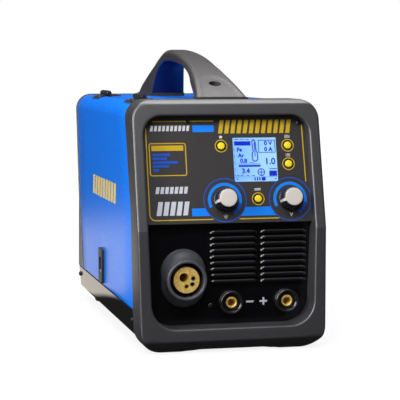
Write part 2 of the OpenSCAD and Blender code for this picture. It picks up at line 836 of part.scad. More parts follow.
module left_knob_cap() {
  color("gainsboro") knob_cap(knob_u[0]);
}

module right_knob() {
  color("black") knob(knob_u[1]);
}

module right_knob_cap() {
  color("gainsboro") knob_cap(knob_u[1]);
}

module push_button(place) {
  color("gold") machine() on_panel(place[0], place[1]) {
    translate([0, 0, -button_back]) cylinder(h = button_back + button_proud - 0.6, d = button_d, $fn = 48);
    translate([0, 0, button_proud - 0.6])
      cylinder(h = 0.6, d1 = button_d, d2 = button_d - 1.6, $fn = 48);
    translate([0, 0, -button_back]) cylinder(h = button_back - panel_t - seat, d = button_flange, $fn = 48);
  }
}

module home_button() {
  push_button(button_places[0]);
}

module setup_button() {
  push_button(button_places[1]);
}

module program_button() {
  push_button(button_places[2]);
}

module material_button() {
  push_button(button_places[3]);
}

module lower_panel() {
  rise = louvre_pitch * 0.72;
  skin = 1;
  low_half = opening_low_half + 5;
  high_half = opening_half + 3;
  panel_high = face_z(lip_v) - 3.6;
  color("black") machine() difference() {
    union() {
      along_y(lower_recess, lower_recess + panel_t)
        rounded([[-low_half, opening_low - 4], [low_half, opening_low - 4],
            [high_half, panel_high], [-high_half, panel_high]], [30, 30, 0.5, 0.5]);
      for (column = [0, 1], row = [0:louvre_n - 1])
        translate([louvre_x + column * (louvre_w + louvre_gap), lower_recess,
             louvre_z + row * louvre_pitch])
          along_x(0, louvre_w)
            polygon([[0.5, rise], [0, rise], [-louvre_out, 0.8], [-louvre_out, 0], [0.5, 0]]);
    }
    // the louvres' mouths
    for (column = [0, 1], row = [0:louvre_n - 1])
      translate([louvre_x + column * (louvre_w + louvre_gap), lower_recess,
           louvre_z + row * louvre_pitch])
        along_x(skin, louvre_w - skin)
          polygon([[panel_t + 1, rise - skin - 0.6], [0, rise - skin - 0.6],
              [-louvre_out + skin, 0.4], [-louvre_out + skin, -0.6],
              [panel_t + 1, -0.6]]);
    rod_y(lower_recess - 1, lower_recess + 5, [torch_x, torch_z], torch_d + 1);
    for (x = socket_x) rod_y(lower_recess - 1, lower_recess + 5, [x, socket_z], socket_neck_d + 0.4);
    rod_y(lower_recess - 1, lower_recess + 5, panel_plug, 3.4);
  }
}

module torch_shroud() {
  base_w = 54;
  base_h = 70;
  color("gray") machine() translate([torch_x, lower_recess - slip, torch_z]) rotate([90, 0, 0])
    difference() {
      hull() {
        linear_extrude(2) rounded_box_2d(base_w, base_h, base_w / 2 - 0.5);
        translate([0, 0, shroud_l * 0.55]) cylinder(h = 1, d = shroud_rim + 2.5, $fn = 32);
        translate([0, 0, shroud_l - 2]) cylinder(h = 2 - slip, d = shroud_rim, $fn = 32);
      }
      translate([0, 0, -1]) cylinder(h = shroud_l + 3, d = shroud_bore, $fn = 96);
    }
}

module torch_body() {
  c = [torch_x, torch_z];
  color("goldenrod") machine() difference() {
    union() {
      rod_y(torch_front, torch_tail - 14, c, torch_d);
      rod_y(torch_tail - 14, torch_tail, [wire_x, wire_z], 18);
      rod_x(torch_x + 13, torch_x + torch_d / 2 + 1.5, [stub_y, torch_z], hose_d - 1);
    }
    rod_y(torch_front - 1, torch_tail - 8, [wire_x, wire_z], wire_bore);
    rod_y(torch_tail - 9, torch_tail + 1, [wire_x, wire_z], 5);
    for (p = contact_places)
      rod_y(torch_front - 1, torch_tail + 1, c + p, contact_sleeve_d);
    rod_y(torch_front - 1, torch_front + 18, c + gas_hole, 5.2);
  }
}

module torch_contacts() {
  color("dimgray") machine() {
    for (p = contact_places) difference() {
      rod_y(torch_front + 0.2, torch_tail - 6, [torch_x, torch_z] + p, contact_sleeve_d - 0.1);
      rod_y(torch_front - 1, torch_front + 14, [torch_x, torch_z] + p, contact_bore);
    }
    // insulating flange behind the panel
    difference() {
      along_y(lower_recess + panel_t, lower_recess + panel_t + 5)
        translate([torch_x, torch_z]) rounded_box_2d(52, 60, 8);
      rod_y(lower_recess, lower_recess + 20, [torch_x, torch_z], torch_d + 0.1);
    }
  }
}

module socket_bodies() {
  front_y = lower_recess - socket_l;
  color("black") machine() for (x = socket_x) difference() {
    union() {
      rod_y(front_y + 1, lower_recess, [x, socket_z], socket_d);
      rod_y(front_y, front_y + 1.2, [x, socket_z], socket_d - 1.6);
      rod_y(lower_recess - 0.5, lower_recess + 14, [x, socket_z], socket_neck_d);
      along_y(lower_recess + panel_t, lower_recess + panel_t + 6)
        translate([x, socket_z]) circle(d = 32, $fn = 6);
    }
    rod_y(front_y - 1, front_y + 3, [x, socket_z], socket_d - 5);
    rod_y(front_y - 1, lower_recess + 20, [x, socket_z], socket_insert_d + 0.1);
  }
}

module socket_inserts() {
  front_y = lower_recess - socket_l + 2.4;
  color("goldenrod") machine() for (x = socket_x) difference() {
    union() {
      rod_y(front_y, lower_recess + 16, [x, socket_z], socket_insert_d);
      rod_y(lower_recess + 15.5, lower_recess + 32, [x, socket_z], 8);
      along_y(lower_recess + 18, lower_recess + 23)
        translate([x, socket_z]) circle(d = 17, $fn = 6);
    }
    rod_y(front_y - 1, lower_recess + 8, [x, socket_z], socket_bore);
    box([x - 1.2, front_y - 1, socket_z + socket_bore / 2 - 0.6],
      [x + 1.2, lower_recess + 4, socket_z + socket_bore / 2 + 1.2]);
  }
}

// ------------------------ door, hinges and latch

module side_door() {
  color("royalblue") machine() difference() {
    union() {
      intersection() {
        along_y(bezel_depth, rear_top_y) corner_section(-1, hinge_x - seam, door_low);
        along_x(-half_w, hinge_x) sheet_side(door_low);
      }
      // folded lower edge
      box([-side_x + 0.5, bezel_depth + 10, door_low],
        [-side_x + 9, rear_line(door_low) - 12, door_low + sheet]);
    }
    box([-half_w, latch_y - latch_w / 2 + 2.5, latch_z - latch_h / 2 + 2.5],
      [-side_x + 5, latch_y + latch_w / 2 - 2.5, latch_z + latch_h / 2 - 2.5]);
    box([-side_x + sheet + 0.1, latch_y - latch_w / 2, door_low - 1],
      [-side_x + 20, latch_y + latch_w / 2, door_low + 3]);
  }
}

// one hinge's knuckle run; part 0 is fixed to the cover, part 1 to the door
module knuckles(y0, part) {
  third = hinge_l / 3;
  gap = 0.4;
  runs = part == 0 ? [[0, third], [2 * third, hinge_l]] : [[third, 2 * third]];
  dir = part == 0 ? 1 : -1;
  edge = hinge_x + dir * (knuckle_d / 2 + 0.5);
  difference() {
    union() {
      for (r = runs) {
        rod_y(y0 + r[0] + gap, y0 + r[1] - gap, [hinge_x, hinge_z], knuckle_d);
        box([min(hinge_x, edge), y0 + r[0] + gap, hinge_z - knuckle_d / 2],
          [max(hinge_x, edge), y0 + r[1] - gap, top_z + leaf_t + seat]);
      }
      if (part == 0)
        box([edge - 0.1, y0, top_z], [edge + leaf_w, y0 + hinge_l, top_z + leaf_t]);
      else
        along_y(y0, y0 + hinge_l) intersection() {
          difference() {
            translate(bend_centre) circle(bend_r + 0.02 + leaf_t, $fn = 96);
            translate(bend_centre) circle(bend_r + 0.02, $fn = 96);
          }
          polygon([bend_centre, bend_centre + [0.1, 40],
              bend_centre + 40 * [-sin(leaf_wrap), cos(leaf_wrap)]]);
        }
    }
    rod_y(y0 - 1, y0 + hinge_l + 1, [hinge_x, hinge_z], pin_d + 2 * running);
  }
  // rivets
  for (f = [0.2, 0.8])
    if (part == 0)
      translate([edge + leaf_w * 0.55, y0 + hinge_l * f, top_z + leaf_t - 0.1])
        cylinder(h = 1.3, d1 = 5, d2 = 3.4, $fn = 24);
    else
      translate([bend_centre[0], y0 + hinge_l * f, bend_centre[1]])
        rotate([0, -leaf_wrap * 0.6, 0]) translate([0, 0, bend_r + leaf_t - 0.1])
          cylinder(h = 1.3, d1 = 5, d2 = 3.4, $fn = 24);
}

module hinge_leaves() {
  color("black") machine() for (y = [hinge_y1, hinge_y2]) knuckles(y, 0);
}

module door_leaves() {
  color("black") machine() for (y = [hinge_y1, hinge_y2]) knuckles(y, 1);
}

module hinge_pins() {
  color("silver") machine() for (y = [hinge_y1, hinge_y2]) {
    rod_y(y - 1, y + hinge_l + 1, [hinge_x, hinge_z], pin_d);
    rod_y(y - 2, y - 0.3, [hinge_x, hinge_z], pin_d + 2);
    rod_y(y + hinge_l + 0.3, y + hinge_l + 2, [hinge_x, hinge_z], pin_d + 2);
  }
}

// places children so that x runs along the door, y up, and z out of it; z = 0 is the sheet
module on_door() {
  translate([-side_x, latch_y, latch_z]) rotate([90, 0, -90]) children();
}

module latch_housing() {
  inner_w = slide_w + 2 * seat;
  inner_h = slide_h + latch_travel + 2 * seat;
  color("black") machine() on_door() difference() {
    union() {
      linear_extrude(latch_proud) rounded_box_2d(latch_w, latch_h, 2.5);
      box([-latch_w / 2 + 3, -latch_h / 2 + 3, -housing_deep],
        [latch_w / 2 - 3, latch_h / 2 - 3, 0.5]);
    }
    // window, and the channel that the slide runs in
    box([-pocket_w / 2, -9, slide_back + slide_t], [pocket_w / 2, -9 + pocket_h, latch_proud + 1]);
    box([-inner_w / 2, slide_low - seat, slide_back - seat],
      [inner_w / 2, slide_low - seat + inner_h, slide_back + slide_t + seat]);
    box([-tongue_w / 2 - seat, -latch_h / 2 - 1, slide_back + 0.8 - seat],
      [tongue_w / 2 + seat, slide_low + 1, slide_back + slide_t + seat]);
  }
}

module latch_slide() {
  low = slide_low;
  back = slide_back;
  tip_z = tray_top + 0.6 - latch_z;
  color("dimgray") machine() on_door() union() {
    box([-slide_w / 2, low, back], [slide_w / 2, low + slide_h, back + slide_t]);
    // finger ledge at the lower end of the window
    box([-pocket_w / 2 + seat, -9 + seat, back + slide_t - 0.1],
      [pocket_w / 2 - seat, -6.5, latch_proud - 0.8]);
    box([-tongue_w / 2, tip_z, back + 0.8], [tongue_w / 2, low + 1, back + slide_t]);
  }
}

// ------------------------ handle

// outer edge of the handle from the side
function handle_outer() = concat(
  [[handle_front, handle_z]],
  curve([[handle_front + 1.5, handle_z + 1.2], [handle_front + 60, handle_z + 30],
     [handle_front + 150, handle_top - 3], [handle_front + 245, handle_top]], 9),
  curve([[handle_front + 256, handle_top], [handle_rear - 85, handle_top - 1],
     [handle_rear - 40, handle_z + 38], [handle_rear - 8, handle_z + 15]], 8),
  [[handle_rear, handle_z + 5], [handle_rear, handle_z]]);

// edge of the hand gap from the side, moved out by a liner
function hand_gap(grow) = concat(
  [[handle_front + gap_front - grow, handle_z - 1]],
  curve([[handle_front + gap_front - grow, handle_z + 2],
     [handle_front + 71 - grow, handle_z + 20.5 + grow],
     [handle_front + 108, handle_z + 41 + grow],
     [handle_front + 235, handle_z + 44.5 + grow]], 8),
  curve([[handle_rear - 120, handle_z + 44 + grow], [handle_rear - 78 + grow, handle_z + 44.5 + grow],
     [handle_rear - 68 + grow, handle_z + 27], [handle_rear - gap_rear + grow, handle_z - 1]], 8));

// handle from the front: wide feet that sweep up into a round grip
module handle_front_view(inset = 0) {
  waist_z = handle_top - grip_half;
  flare = handle_foot_half - grip_half;
  function half_at(z) = grip_half + flare * pow((waist_z - z) / (waist_z - handle_z), 1.18) - inset;
  heights = [for (i = [0:7]) handle_z + (waist_z - handle_z) * i / 7];
  polygon(concat([for (z = heights) [half_at(z), z]],
         [for (i = [7:-1:0]) [-half_at(heights[i]), heights[i]]]));
  translate([0, waist_z]) circle(grip_half - inset, $fn = 64);
}

// and from above: the feet narrow towards the hand gap
module handle_plan(inset = 0) {
  foot = handle_foot_half;
  half = [[handle_front, foot], [handle_front + gap_front, foot - 6],
    [handle_rear - gap_rear - 30, grip_half + 1], [handle_rear - gap_rear, foot - 8],
    [handle_rear, foot]];
  linear_extrude(handle_top + 1) offset(-inset) polygon(concat([for (p = half) [p[1], p[0]]],
      [for (i = [4:-1:0]) [-half[i][1], half[i][0]]]));
}

module handle_body() {
  intersection() {
    handle_plan();
    along_x(-handle_foot_half - 1, handle_foot_half + 1) polygon(handle_outer());
    along_y(handle_front - 1, handle_rear + 1) handle_front_view();
  }
}

module handle_shell() {
  color("gray") machine() difference() {
    handle_body();
    along_x(-half_w, half_w) polygon(hand_gap(0));
    intersection() {
      along_x(-half_w, half_w) polygon(hand_gap(liner_t));
      along_y(liner_front, handle_rear + 1) handle_front_view(2);
      handle_plan(1.6);
    }
    for (y = handle_screw_y) {
      translate([0, y, handle_z + handle_web]) cylinder(h = 60, d = recess_d, $fn = 48);
      translate([0, y, handle_z - 1]) cylinder(h = handle_web + 2, d = 4.4, $fn = 32);
    }
  }
}

module handle_liner() {
  color("mediumblue") machine() intersection() {
    along_x(-half_w, half_w) difference() {
      polygon(hand_gap(liner_t - slip));
      polygon(hand_gap(0));
    }
    along_y(liner_front + slip, handle_rear + 1) handle_front_view(2 + slip);
    handle_plan(1.6 + slip);
    translate([-50, 0, handle_z + 0.1]) cube([100, rear_top_y, 100]);
  }
}

module handle_gasket() {
  spread = 0.7;
  step_y = bezel_back_top + seat;
  color("black") machine() difference() {
    intersection() {
      handle_plan(-spread);
      union() {
        along_x(-handle_foot_half - spread, handle_foot_half + spread)
          polygon([[handle_front - spread, body_h], [step_y, body_h], [step_y, top_z],
              [handle_front + gap_front + spread, top_z],
              [handle_front + gap_front + spread, handle_z],
              [handle_front - spread, handle_z]]);
        box([-handle_foot_half - spread, handle_rear - gap_rear - spread, top_z],
          [handle_foot_half + spread, handle_rear + spread, handle_z]);
      }
    }
    for (y = handle_screw_y) translate([0, y, top_z - 1]) cylinder(h = 10, d = 4.4, $fn = 32);
  }
}

// ------------------------ rear

module rear_panel() {
  color("black") machine() difference() {
    union() {
      along_y(rear_panel_y, rear_panel_y + sheet)
        translate([0, (rear_opening_low + rear_opening_high) / 2])
          rounded_box_2d(2 * rear_opening_half + 8,
                 rear_opening_high - rear_opening_low + 8, 18);
      // brackets that stand in the tray
      for (x = [[2 - rear_opening_half, 16 - rear_opening_half], [-48, -36], [-14, rear_opening_half - 10]]) {
        box([x[0], body_d - 41, floor_z], [x[1], body_d - 29, floor_z + sheet]);
        box([x[0], body_d - 41, floor_z], [x[1], body_d - 41 + sheet, rear_opening_low]);
        box([x[0], body_d - 41, rear_opening_low - sheet],
          [x[1], rear_panel_y + 0.5, rear_opening_low]);
      }
    }
    rod_y(rear_panel_y - 1, rear_panel_y + 5, [fan_x, fan_z], fan_w - 8);
    for (x = [-1, 1], z = [-1, 1])
      rod_y(rear_panel_y - 1, rear_panel_y + 5, [fan_x + x * 52.5, fan_z + z * 52.5], 4);
    rod_y(rear_panel_y - 1, rear_panel_y + 5, [gland_x, gland_z], 20.4);
    rod_y(rear_panel_y - 1, rear_panel_y + 5, [gas_x, gas_z], 12.4);
    along_y(rear_panel_y - 1, rear_panel_y + 5) translate([rocker_x, rocker_z])
      square([27.4, 21.4], center = true);
    for (x = [12 - rear_opening_half, rear_opening_half - 12],
       z = [30 + rear_opening_low, rear_opening_high - 30])
      rod_y(rear_panel_y - 1, rear_panel_y + 5, [x, z], 3.4);
  }
}

module fan_frame() {
  y1 = rear_panel_y - slip;
  y0 = y1 - fan_t;
  color("black") machine() difference() {
    union() {
      difference() {
        along_y(y0, y1) translate([fan_x, fan_z]) rounded_box_2d(fan_w, fan_w, 5);
        rod_y(y0 - 1, y1 + 1, [fan_x, fan_z], fan_w - 5);
      }
      rod_y(y0, y0 + 5, [fan_x, fan_z], fan_hub_d);
      for (a = [45, 135, 225, 315]) translate([fan_x, y0, fan_z]) rotate([0, a, 0])
        box([fan_hub_d / 2 - 1, 0, -3], [fan_w / 2 - 1.5, 4, 3]);
    }
    rod_y(y0 - 1, y0 + 20, [fan_x, fan_z], fan_shaft_d + 2 * running);
    for (x = [-1, 1], z = [-1, 1])
      rod_y(y0 - 1, y1 + 1, [fan_x + x * 52.5, fan_z + z * 52.5], 4);
  }
}

module fan_rotor() {
  y0 = rear_panel_y - slip - fan_t;
  color("dimgray") machine() {
    rod_y(y0 + 0.5, y0 + 8, [fan_x, fan_z], fan_shaft_d);
    rod_y(y0 + 6, y0 + fan_t - 2, [fan_x, fan_z], fan_hub_d);
    for (i = [0:fan_blades - 1]) translate([fan_x, y0 + fan_t / 2 + 2, fan_z])
      rotate([0, i * 360 / fan_blades, 0]) rotate([38, 0, 0])
        box([fan_hub_d / 2 - 1.5, -1, -13], [fan_w / 2 - 5, 1, 13]);
  }
}

module fan_grille() {
  y0 = rear_panel_y + sheet + slip;
  wire_t = 2.2;
  color("black") machine() {
    for (i = [1:grille_rings]) translate([fan_x, y0, fan_z]) rotate([-90, 0, 0]) difference() {
      cylinder(h = wire_t, d = 16 + i * 16, $fn = 96);
      translate([0, 0, -1]) cylinder(h = wire_t + 2, d = 16 + i * 16 - 2 * wire_t, $fn = 96);
    }
    for (a = [45, 135]) translate([fan_x, y0, fan_z]) rotate([0, a, 0]) difference() {
      box([-fan_w / 2 * 1.3, 0, -wire_t / 2 - 1.6], [fan_w / 2 * 1.3, wire_t, wire_t / 2 + 1.6]);
      for (s = [-1, 1]) translate([s * 52.5 * sqrt(2), -1, 0]) rotate([-90, 0, 0])
        cylinder(h = 6, d = 4.2, $fn = 24);
    }
    rod_y(y0, y0 + wire_t, [fan_x, fan_z], 24);
  }
}

module gas_inlet() {
  y0 = rear_panel_y;
  c = [gas_x, gas_z];
  color("goldenrod") machine() difference() {
    union() {
      rod_y(valve_y + 11, y0 + 8, c, 12);
      along_y(y0 + sheet, y0 + sheet + 5) translate(c) circle(d = 18, $fn = 6);
      along_y(y0 - 5, y0 - 0.2) translate(c) circle(d = 18, $fn = 6);
      rod_y(y0 + 7, y0 + 27, c, 8);
      for (i = [0:2]) translate([gas_x, y0 + 12 + i * 5, gas_z]) rotate([-90, 0, 0])
        cylinder(h = 3.6, d1 = 9.2, d2 = 8, $fn = 48);
    }
    rod_y(valve_y, y0 + 28, c, 5);
  }
}

module cable_gland() {
  c = [gland_x, gland_z];
  y0 = rear_panel_y;
  color("black") machine() difference() {
    union() {
      rod_y(y0 - 9, y0 + 10, c, 20);
      along_y(y0 + sheet, y0 + sheet + 5) translate(c) circle(d = 29, $fn = 6);
      along_y(y0 - 6, y0 - 0.2) translate(c) circle(d = 29, $fn = 6);
      rod_y(y0 + sheet + 5, y0 + sheet + 15, c, 24);
      translate([c[0], y0 + sheet + 15, c[1]]) rotate([-90, 0, 0])
        cylinder(h = 6, d1 = 24, d2 = 15, $fn = 48);
    }
    rod_y(y0 - 10, y0 + 30, c, 10.6);
  }
}

module switch_housing() {
  y0 = rear_panel_y;
  color("black") machine() difference() {
    union() {
      along_y(y0 - 20, y0 + sheet + 0.5) translate([rocker_x, rocker_z]) square([27, 21], center = true);
      along_y(y0 + sheet, y0 + sheet + 2.2) translate([rocker_x, rocker_z]) rounded_box_2d(31, 25, 2);
    }
    along_y(y0 - 8, y0 + 10) translate([rocker_x, rocker_z]) square([22, 17.6], center = true);
    rod_x(rocker_x - 12.5, rocker_x + 12.5, [y0 - 1, rocker_z], 3 + 2 * running);
  }
}

module power_rocker() {
  y0 = rear_panel_y;
  color("darkred") machine() {
    intersection() {
      translate([0, y0 - 1, rocker_z]) rotate([10, 0, 0]) along_x(rocker_x - 10.5, rocker_x + 10.5)
        polygon([[-1, -7.2], [6.6, -7.2], [4.4, 0], [6.6, 7.2], [-1, 7.2]]);
      rod_x(rocker_x - 11, rocker_x + 11, [y0 - 1, rocker_z], 22);
    }
    rod_x(rocker_x - 12.3, rocker_x + 12.3, [y0 - 1, rocker_z], 3);
  }
}

// ------------------------ electronics

module heat_sink() {
  x0 = partition_x + sheet + 8;
  fin = sink_w / (sink_fins * 2 - 1);
  color("silver") machine() {
    box([x0, sink_y, sink_z + 34], [x0 + sink_w, sink_y + sink_l, sink_z + 40]);
    for (i = [0:sink_fins - 1])
      box([x0 + i * 2 * fin, sink_y, sink_z], [x0 + i * 2 * fin + fin, sink_y + sink_l, sink_z + 34.2]);
    // brackets to the partition
    for (y = [sink_y + 10, sink_y + sink_l - 30])
      box([partition_x + sheet, y, sink_z + 34], [x0 + 0.5, y + 20, sink_z + 40]);
  }
}

module power_board() {
  x0 = partition_x + sheet + 4;
  color("darkgreen") machine() {
    box([x0, sink_y - 20, board_z], [x0 + 104, sink_y + sink_l + 10, board_z + board_t]);
    for (i = [0:2]) translate([x0 + 24, sink_y + 20 + i * 45, board_z + board_t - 0.1])
      cylinder(h = 46, d = 35, $fn = 48);
    for (i = [0:3]) box([x0 + 56, sink_y + 6 + i * 38, board_z + board_t - 0.1],
              [x0 + 88, sink_y + 30 + i * 38, board_z + 24]);
    // power devices clamped to the heat sink
    for (i = [0:3]) box([x0 + 16 + i * 20, sink_y + 40, sink_z + 40],
              [x0 + 30 + i * 20, sink_y + 60, board_z + 0.1]);
    for (x = [x0 + 10, x0 + 80], y = [sink_y + 6, sink_y + sink_l - 8])
      translate([x, y, sink_z + 40]) cylinder(h = board_z - sink_z - 39.9, d = 7, $fn = 24);
  }
}

module transformer() {
  c = [36, (roll_y + motor_d / 2 + choke_y - choke_d / 2) / 2 - 3];
  color("sienna") machine() {
    difference() {
      box([c[0] - 40, c[1] - 26, floor_z], [c[0] + 40, c[1] + 26, floor_z + 78]);
      for (s = [-1, 1])
        box([c[0] + s * 20 - 11, c[1] - 27, floor_z + 14],
          [c[0] + s * 20 + 11, c[1] + 27, floor_z + 64]);
    }
    translate([c[0], c[1], floor_z + 14.2]) difference() {
      linear_extrude(49.6) rounded_box_2d(38, 66, 8);
      translate([0, 0, -1]) linear_extrude(52) square([18.4, 52.4], center = true);
    }
  }
}

module output_choke() {
  color("saddlebrown") machine() translate([40, choke_y, floor_z + 22]) {
    rotate_extrude($fn = 96) translate([choke_d / 2 - 15, 0]) circle(15, $fn = 48);
    translate([0, 0, -22]) difference() {
      cylinder(h = 9, d = 80, $fn = 48);
      translate([0, 0, -1]) cylinder(h = 12, d = 40, $fn = 48);
    }
  }
}

module gas_valve() {
  color("silver") machine() union() {
    box([gas_x - 12, valve_y - 11, gas_z - 11], [gas_x + 12, valve_y + 11, gas_z + 11]);
    rod_x(gas_x - 30, gas_x - 11.9, [valve_y, gas_z], 20);
    rod_x(gas_x + 11.5, gas_x + 20, [valve_y, gas_z], hose_d - 1);
  }
}

module hose_quarter() {
  rotate_extrude(angle = 90, $fn = 64) translate([hose_r, 0]) circle(d = hose_d, $fn = 32);
}

// from a stub at [x, y, z] sideways to the hose's plane, then down; dir says which way it runs on
module hose_end(x, y, z, dir) {
  rod_x(x, hose_x - hose_r, [y, z], hose_d);
  translate([hose_x - hose_r, y, z - hose_r]) rotate([90, 0, 0]) hose_quarter();
  translate([hose_x, y, hose_z + hose_r])
    cylinder(h = z - hose_z - 2 * hose_r, d = hose_d, $fn = 32);
  translate([hose_x, y + dir * hose_r, hose_z + hose_r]) rotate([-90, 0, -dir * 90]) hose_quarter();
}

module gas_hose() {
  color("dimgray") machine() {
    hose_end(gas_x + 20, valve_y, gas_z, -1);
    hose_end(torch_x + torch_d / 2 + 1.5, stub_y, torch_z, 1);
    rod_y(stub_y + hose_r, valve_y - hose_r, [hose_x, hose_z], hose_d);
  }
}

// ------------------------ wire feeder

module feed_plate() {
  y0 = arm_pivot[0] - 12;
  y1 = tension_pivot[0] + 12;
  color("dimgray") machine() difference() {
    union() {
      along_x(plate_x, plate_x + feed_plate_t)
        translate([(y0 + y1) / 2, (drive_z + arm_pivot[1]) / 2])
          rounded_box_2d(y1 - y0, arm_pivot[1] - drive_z + 56, 6);
      // pins for the arm and for the tensioner
      rod_x(arm_out_x - 2, plate_x + 1, arm_pivot, arm_pin_d);
      rod_x(arm_out_x - 4, arm_out_x - 0.5, arm_pivot, arm_pin_d + 4);
      rod_x(arm_in_x + 0.5, plate_x + 1, arm_pivot, arm_pin_d + 4);
      rod_x(tension_x - 6, plate_x + 1, tension_pivot, tension_pin_d);
      rod_x(tension_x + 4.5, plate_x + 1, tension_pivot, tension_pin_d + 4);
      rod_x(tension_x - 8, tension_x - 6, tension_pivot, tension_pin_d + 3);
      // stand-offs that the wire guides are clamped in
      for (y = [y0 + 1, y1 - 13])
        box([wire_x - 6, y, wire_z - 6], [plate_x + 1, y + 12, wire_z + 5]);
    }
    rod_x(plate_x - 1, plate_x + feed_plate_t + 1, [roll_y, drive_z], drive_shaft_d + 2 * running);
    rod_y(y0 - 5, y1 + 5, [wire_x, wire_z], guide_d + 0.1);
    // room for the drive roll's flange
    rod_x(plate_x - 30, plate_x - 0.5, [roll_y, drive_z], drive_d + 3);
  }
}

module wire_guides() {
  y0 = arm_pivot[0] - 12;
  y1 = tension_pivot[0] + 12;
  reach = 11;
  color("goldenrod") machine() {
    difference() {
      union() {
        rod_y(torch_tail + seat, roll_y - reach, [wire_x, wire_z], guide_d);
        rod_y(torch_tail + seat, torch_tail + 4, [wire_x, wire_z], guide_d + 3);
      }
      rod_y(torch_tail - 1, roll_y, [wire_x, wire_z], 3);
    }
    difference() {
      union() {
        rod_y(roll_y + reach, y1 + 14, [wire_x, wire_z], guide_d);
        translate([wire_x, y1 + 12, wire_z]) rotate([-90, 0, 0])
          cylinder(h = 6, d1 = guide_d, d2 = guide_d + 5, $fn = 48);
      }
      rod_y(roll_y, y1 + 30, [wire_x, wire_z], 3);
    }
  }
}

module feed_motor() {
  gx0 = plate_x + feed_plate_t;
  gx1 = partition_x + 26;
  w = gearbox_w;
  color("gray") machine() difference() {
    union() {
      along_x(gx0, gx1) translate([roll_y, drive_z]) rounded_box_2d(w - 4, w - 4, 8);
      rod_x(gx1 - 1, gx1 + 62, [roll_y, drive_z], motor_d);
      rod_x(gx1 + 62, gx1 + 66, [roll_y, drive_z], motor_d - 8);
      // flange against the partition
      along_x(partition_x + sheet, partition_x + sheet + 3)
        translate([roll_y, drive_z]) rounded_box_2d(w + 12, w + 12, 8);
    }
    rod_x(gx0 - 1, gx0 + 9, [roll_y, drive_z], drive_shaft_d + 2 * running);
  }
}

module drive_roll() {
  color("silver") machine() {
    difference() {
      union() {
        rod_x(wire_x - roll_w / 2, wire_x + roll_w / 2, [roll_y, drive_z], drive_d);
        rod_x(wire_x - roll_w / 2 - 1.5, wire_x - roll_w / 2 + 1, [roll_y, drive_z], drive_d - 4);
        // screw cap
        rod_x(wire_x - roll_w / 2 - 6, wire_x - roll_w / 2 - 1, [roll_y, drive_z], 14);
        rod_x(wire_x, plate_x + feed_plate_t + 8, [roll_y, drive_z], drive_shaft_d);
        rod_x(wire_x, plate_x - 1, [roll_y, drive_z], drive_shaft_d + 5);
      }
      translate([wire_x, roll_y, drive_z]) rotate([0, 90, 0])
        rotate_extrude($fn = 64) polygon([[drive_d / 2 - 0.7, 0], [drive_d / 2 + 1, -1.4],
                         [drive_d / 2 + 1, 1.4]]);
      for (a = [0:60:300]) rotate_about_drive(a) rod_x(wire_x - roll_w / 2 - 2,
        wire_x - roll_w / 2 + 2.5, [roll_y, drive_z + 10], 2.6);
    }
  }
}

module rotate_about_drive(a) {
  translate([0, roll_y, drive_z]) rotate([a, 0, 0]) translate([0, -roll_y, -drive_z]) children();
}

module pressure_arm() {
  rear_y = tension_pivot[0] + 6;
  roll_room = roll_w / 2 + 0.5;
  color("gray") machine() difference() {
    union() {
      along_x(arm_out_x, arm_in_x)
        rounded([[arm_pivot[0] - 8, arm_low], [rear_y, arm_low + 4], [rear_y, arm_low + arm_t],
            [arm_pivot[0] - 8, arm_low + arm_t]], [5, 3, 3, 7]);
      rod_x(wire_x - roll_room - 3, wire_x + roll_room + 2, [roll_y, pressure_z], axle_d);
    }
    rod_x(arm_out_x - 1, arm_in_x + 1, arm_pivot, arm_pin_d + 2 * running);
    // slot for the pressure roll, past its pin
    difference() {
      box([wire_x - roll_room, roll_y - pressure_d / 2 - 1.5, arm_low - 1],
        [wire_x + roll_room, roll_y + pressure_d / 2 + 1.5, arm_low + arm_t + 1]);
      rod_x(wire_x - roll_room - 1, wire_x + roll_room + 1, [roll_y, pressure_z], axle_d);
    }
    // fork for the tensioner
    box([tension_x - tension_rod_d / 2 - 0.6, tension_pivot[0] - 4, arm_low - 1],
      [tension_x + tension_rod_d / 2 + 0.6, rear_y + 1, arm_low + arm_t + 1]);
  }
}

module pressure_roll() {
  color("silver") machine() difference() {
    rod_x(wire_x - roll_w / 2, wire_x + roll_w / 2, [roll_y, pressure_z], pressure_d);
    rod_x(wire_x - roll_w, wire_x + roll_w, [roll_y, pressure_z], axle_d + 2 * running);
    for (s = [-1, 1]) translate([wire_x + s * roll_w / 2, roll_y, pressure_z]) rotate([0, 90, 0])
      difference() {
        cylinder(h = 1, d = pressure_d - 4, center = true, $fn = 48);
        cylinder(h = 2, d = axle_d + 5, center = true, $fn = 48);
      }
  }
}

module tension_rod() {
  color("silver") machine() difference() {
    union() {
      translate([tension_x, tension_pivot[0], tension_pivot[1]])
        cylinder(h = tension_knob_low + tension_knob_h - 4 - tension_pivot[1], d = tension_rod_d, $fn = 48);
      rod_x(tension_x - 4, tension_x + 4, tension_pivot, tension_pin_d + 5);
      // spring sleeve that bears on the arm
      translate([tension_x, tension_pivot[0], tension_cup_low])
        cylinder(h = tension_cup_h, d = 10, $fn = 48);
    }
    rod_x(tension_x - 5, tension_x + 5, tension_pivot, tension_pin_d + 2 * running);
  }
}

module tension_knob() {
  color("black") machine() translate([tension_x, tension_pivot[0], tension_knob_low]) difference() {
    union() {
      cylinder(h = tension_knob_h - 2, d = tension_knob_d, $fn = 48);
      translate([0, 0, tension_knob_h - 2])
        cylinder(h = 2, d1 = tension_knob_d, d2 = tension_knob_d - 4, $fn = 48);
    }
    translate([0, 0, -1]) cylinder(h = tension_knob_h - 2.5, d = tension_rod_d + 2 * running, $fn = 48);
    for (a = [0:30:330]) rotate(a) translate([tension_knob_d / 2 + 0.6, 0, 3])
      cylinder(h = tension_knob_h, d = 3, $fn = 24);
  }
}

// ------------------------ spool

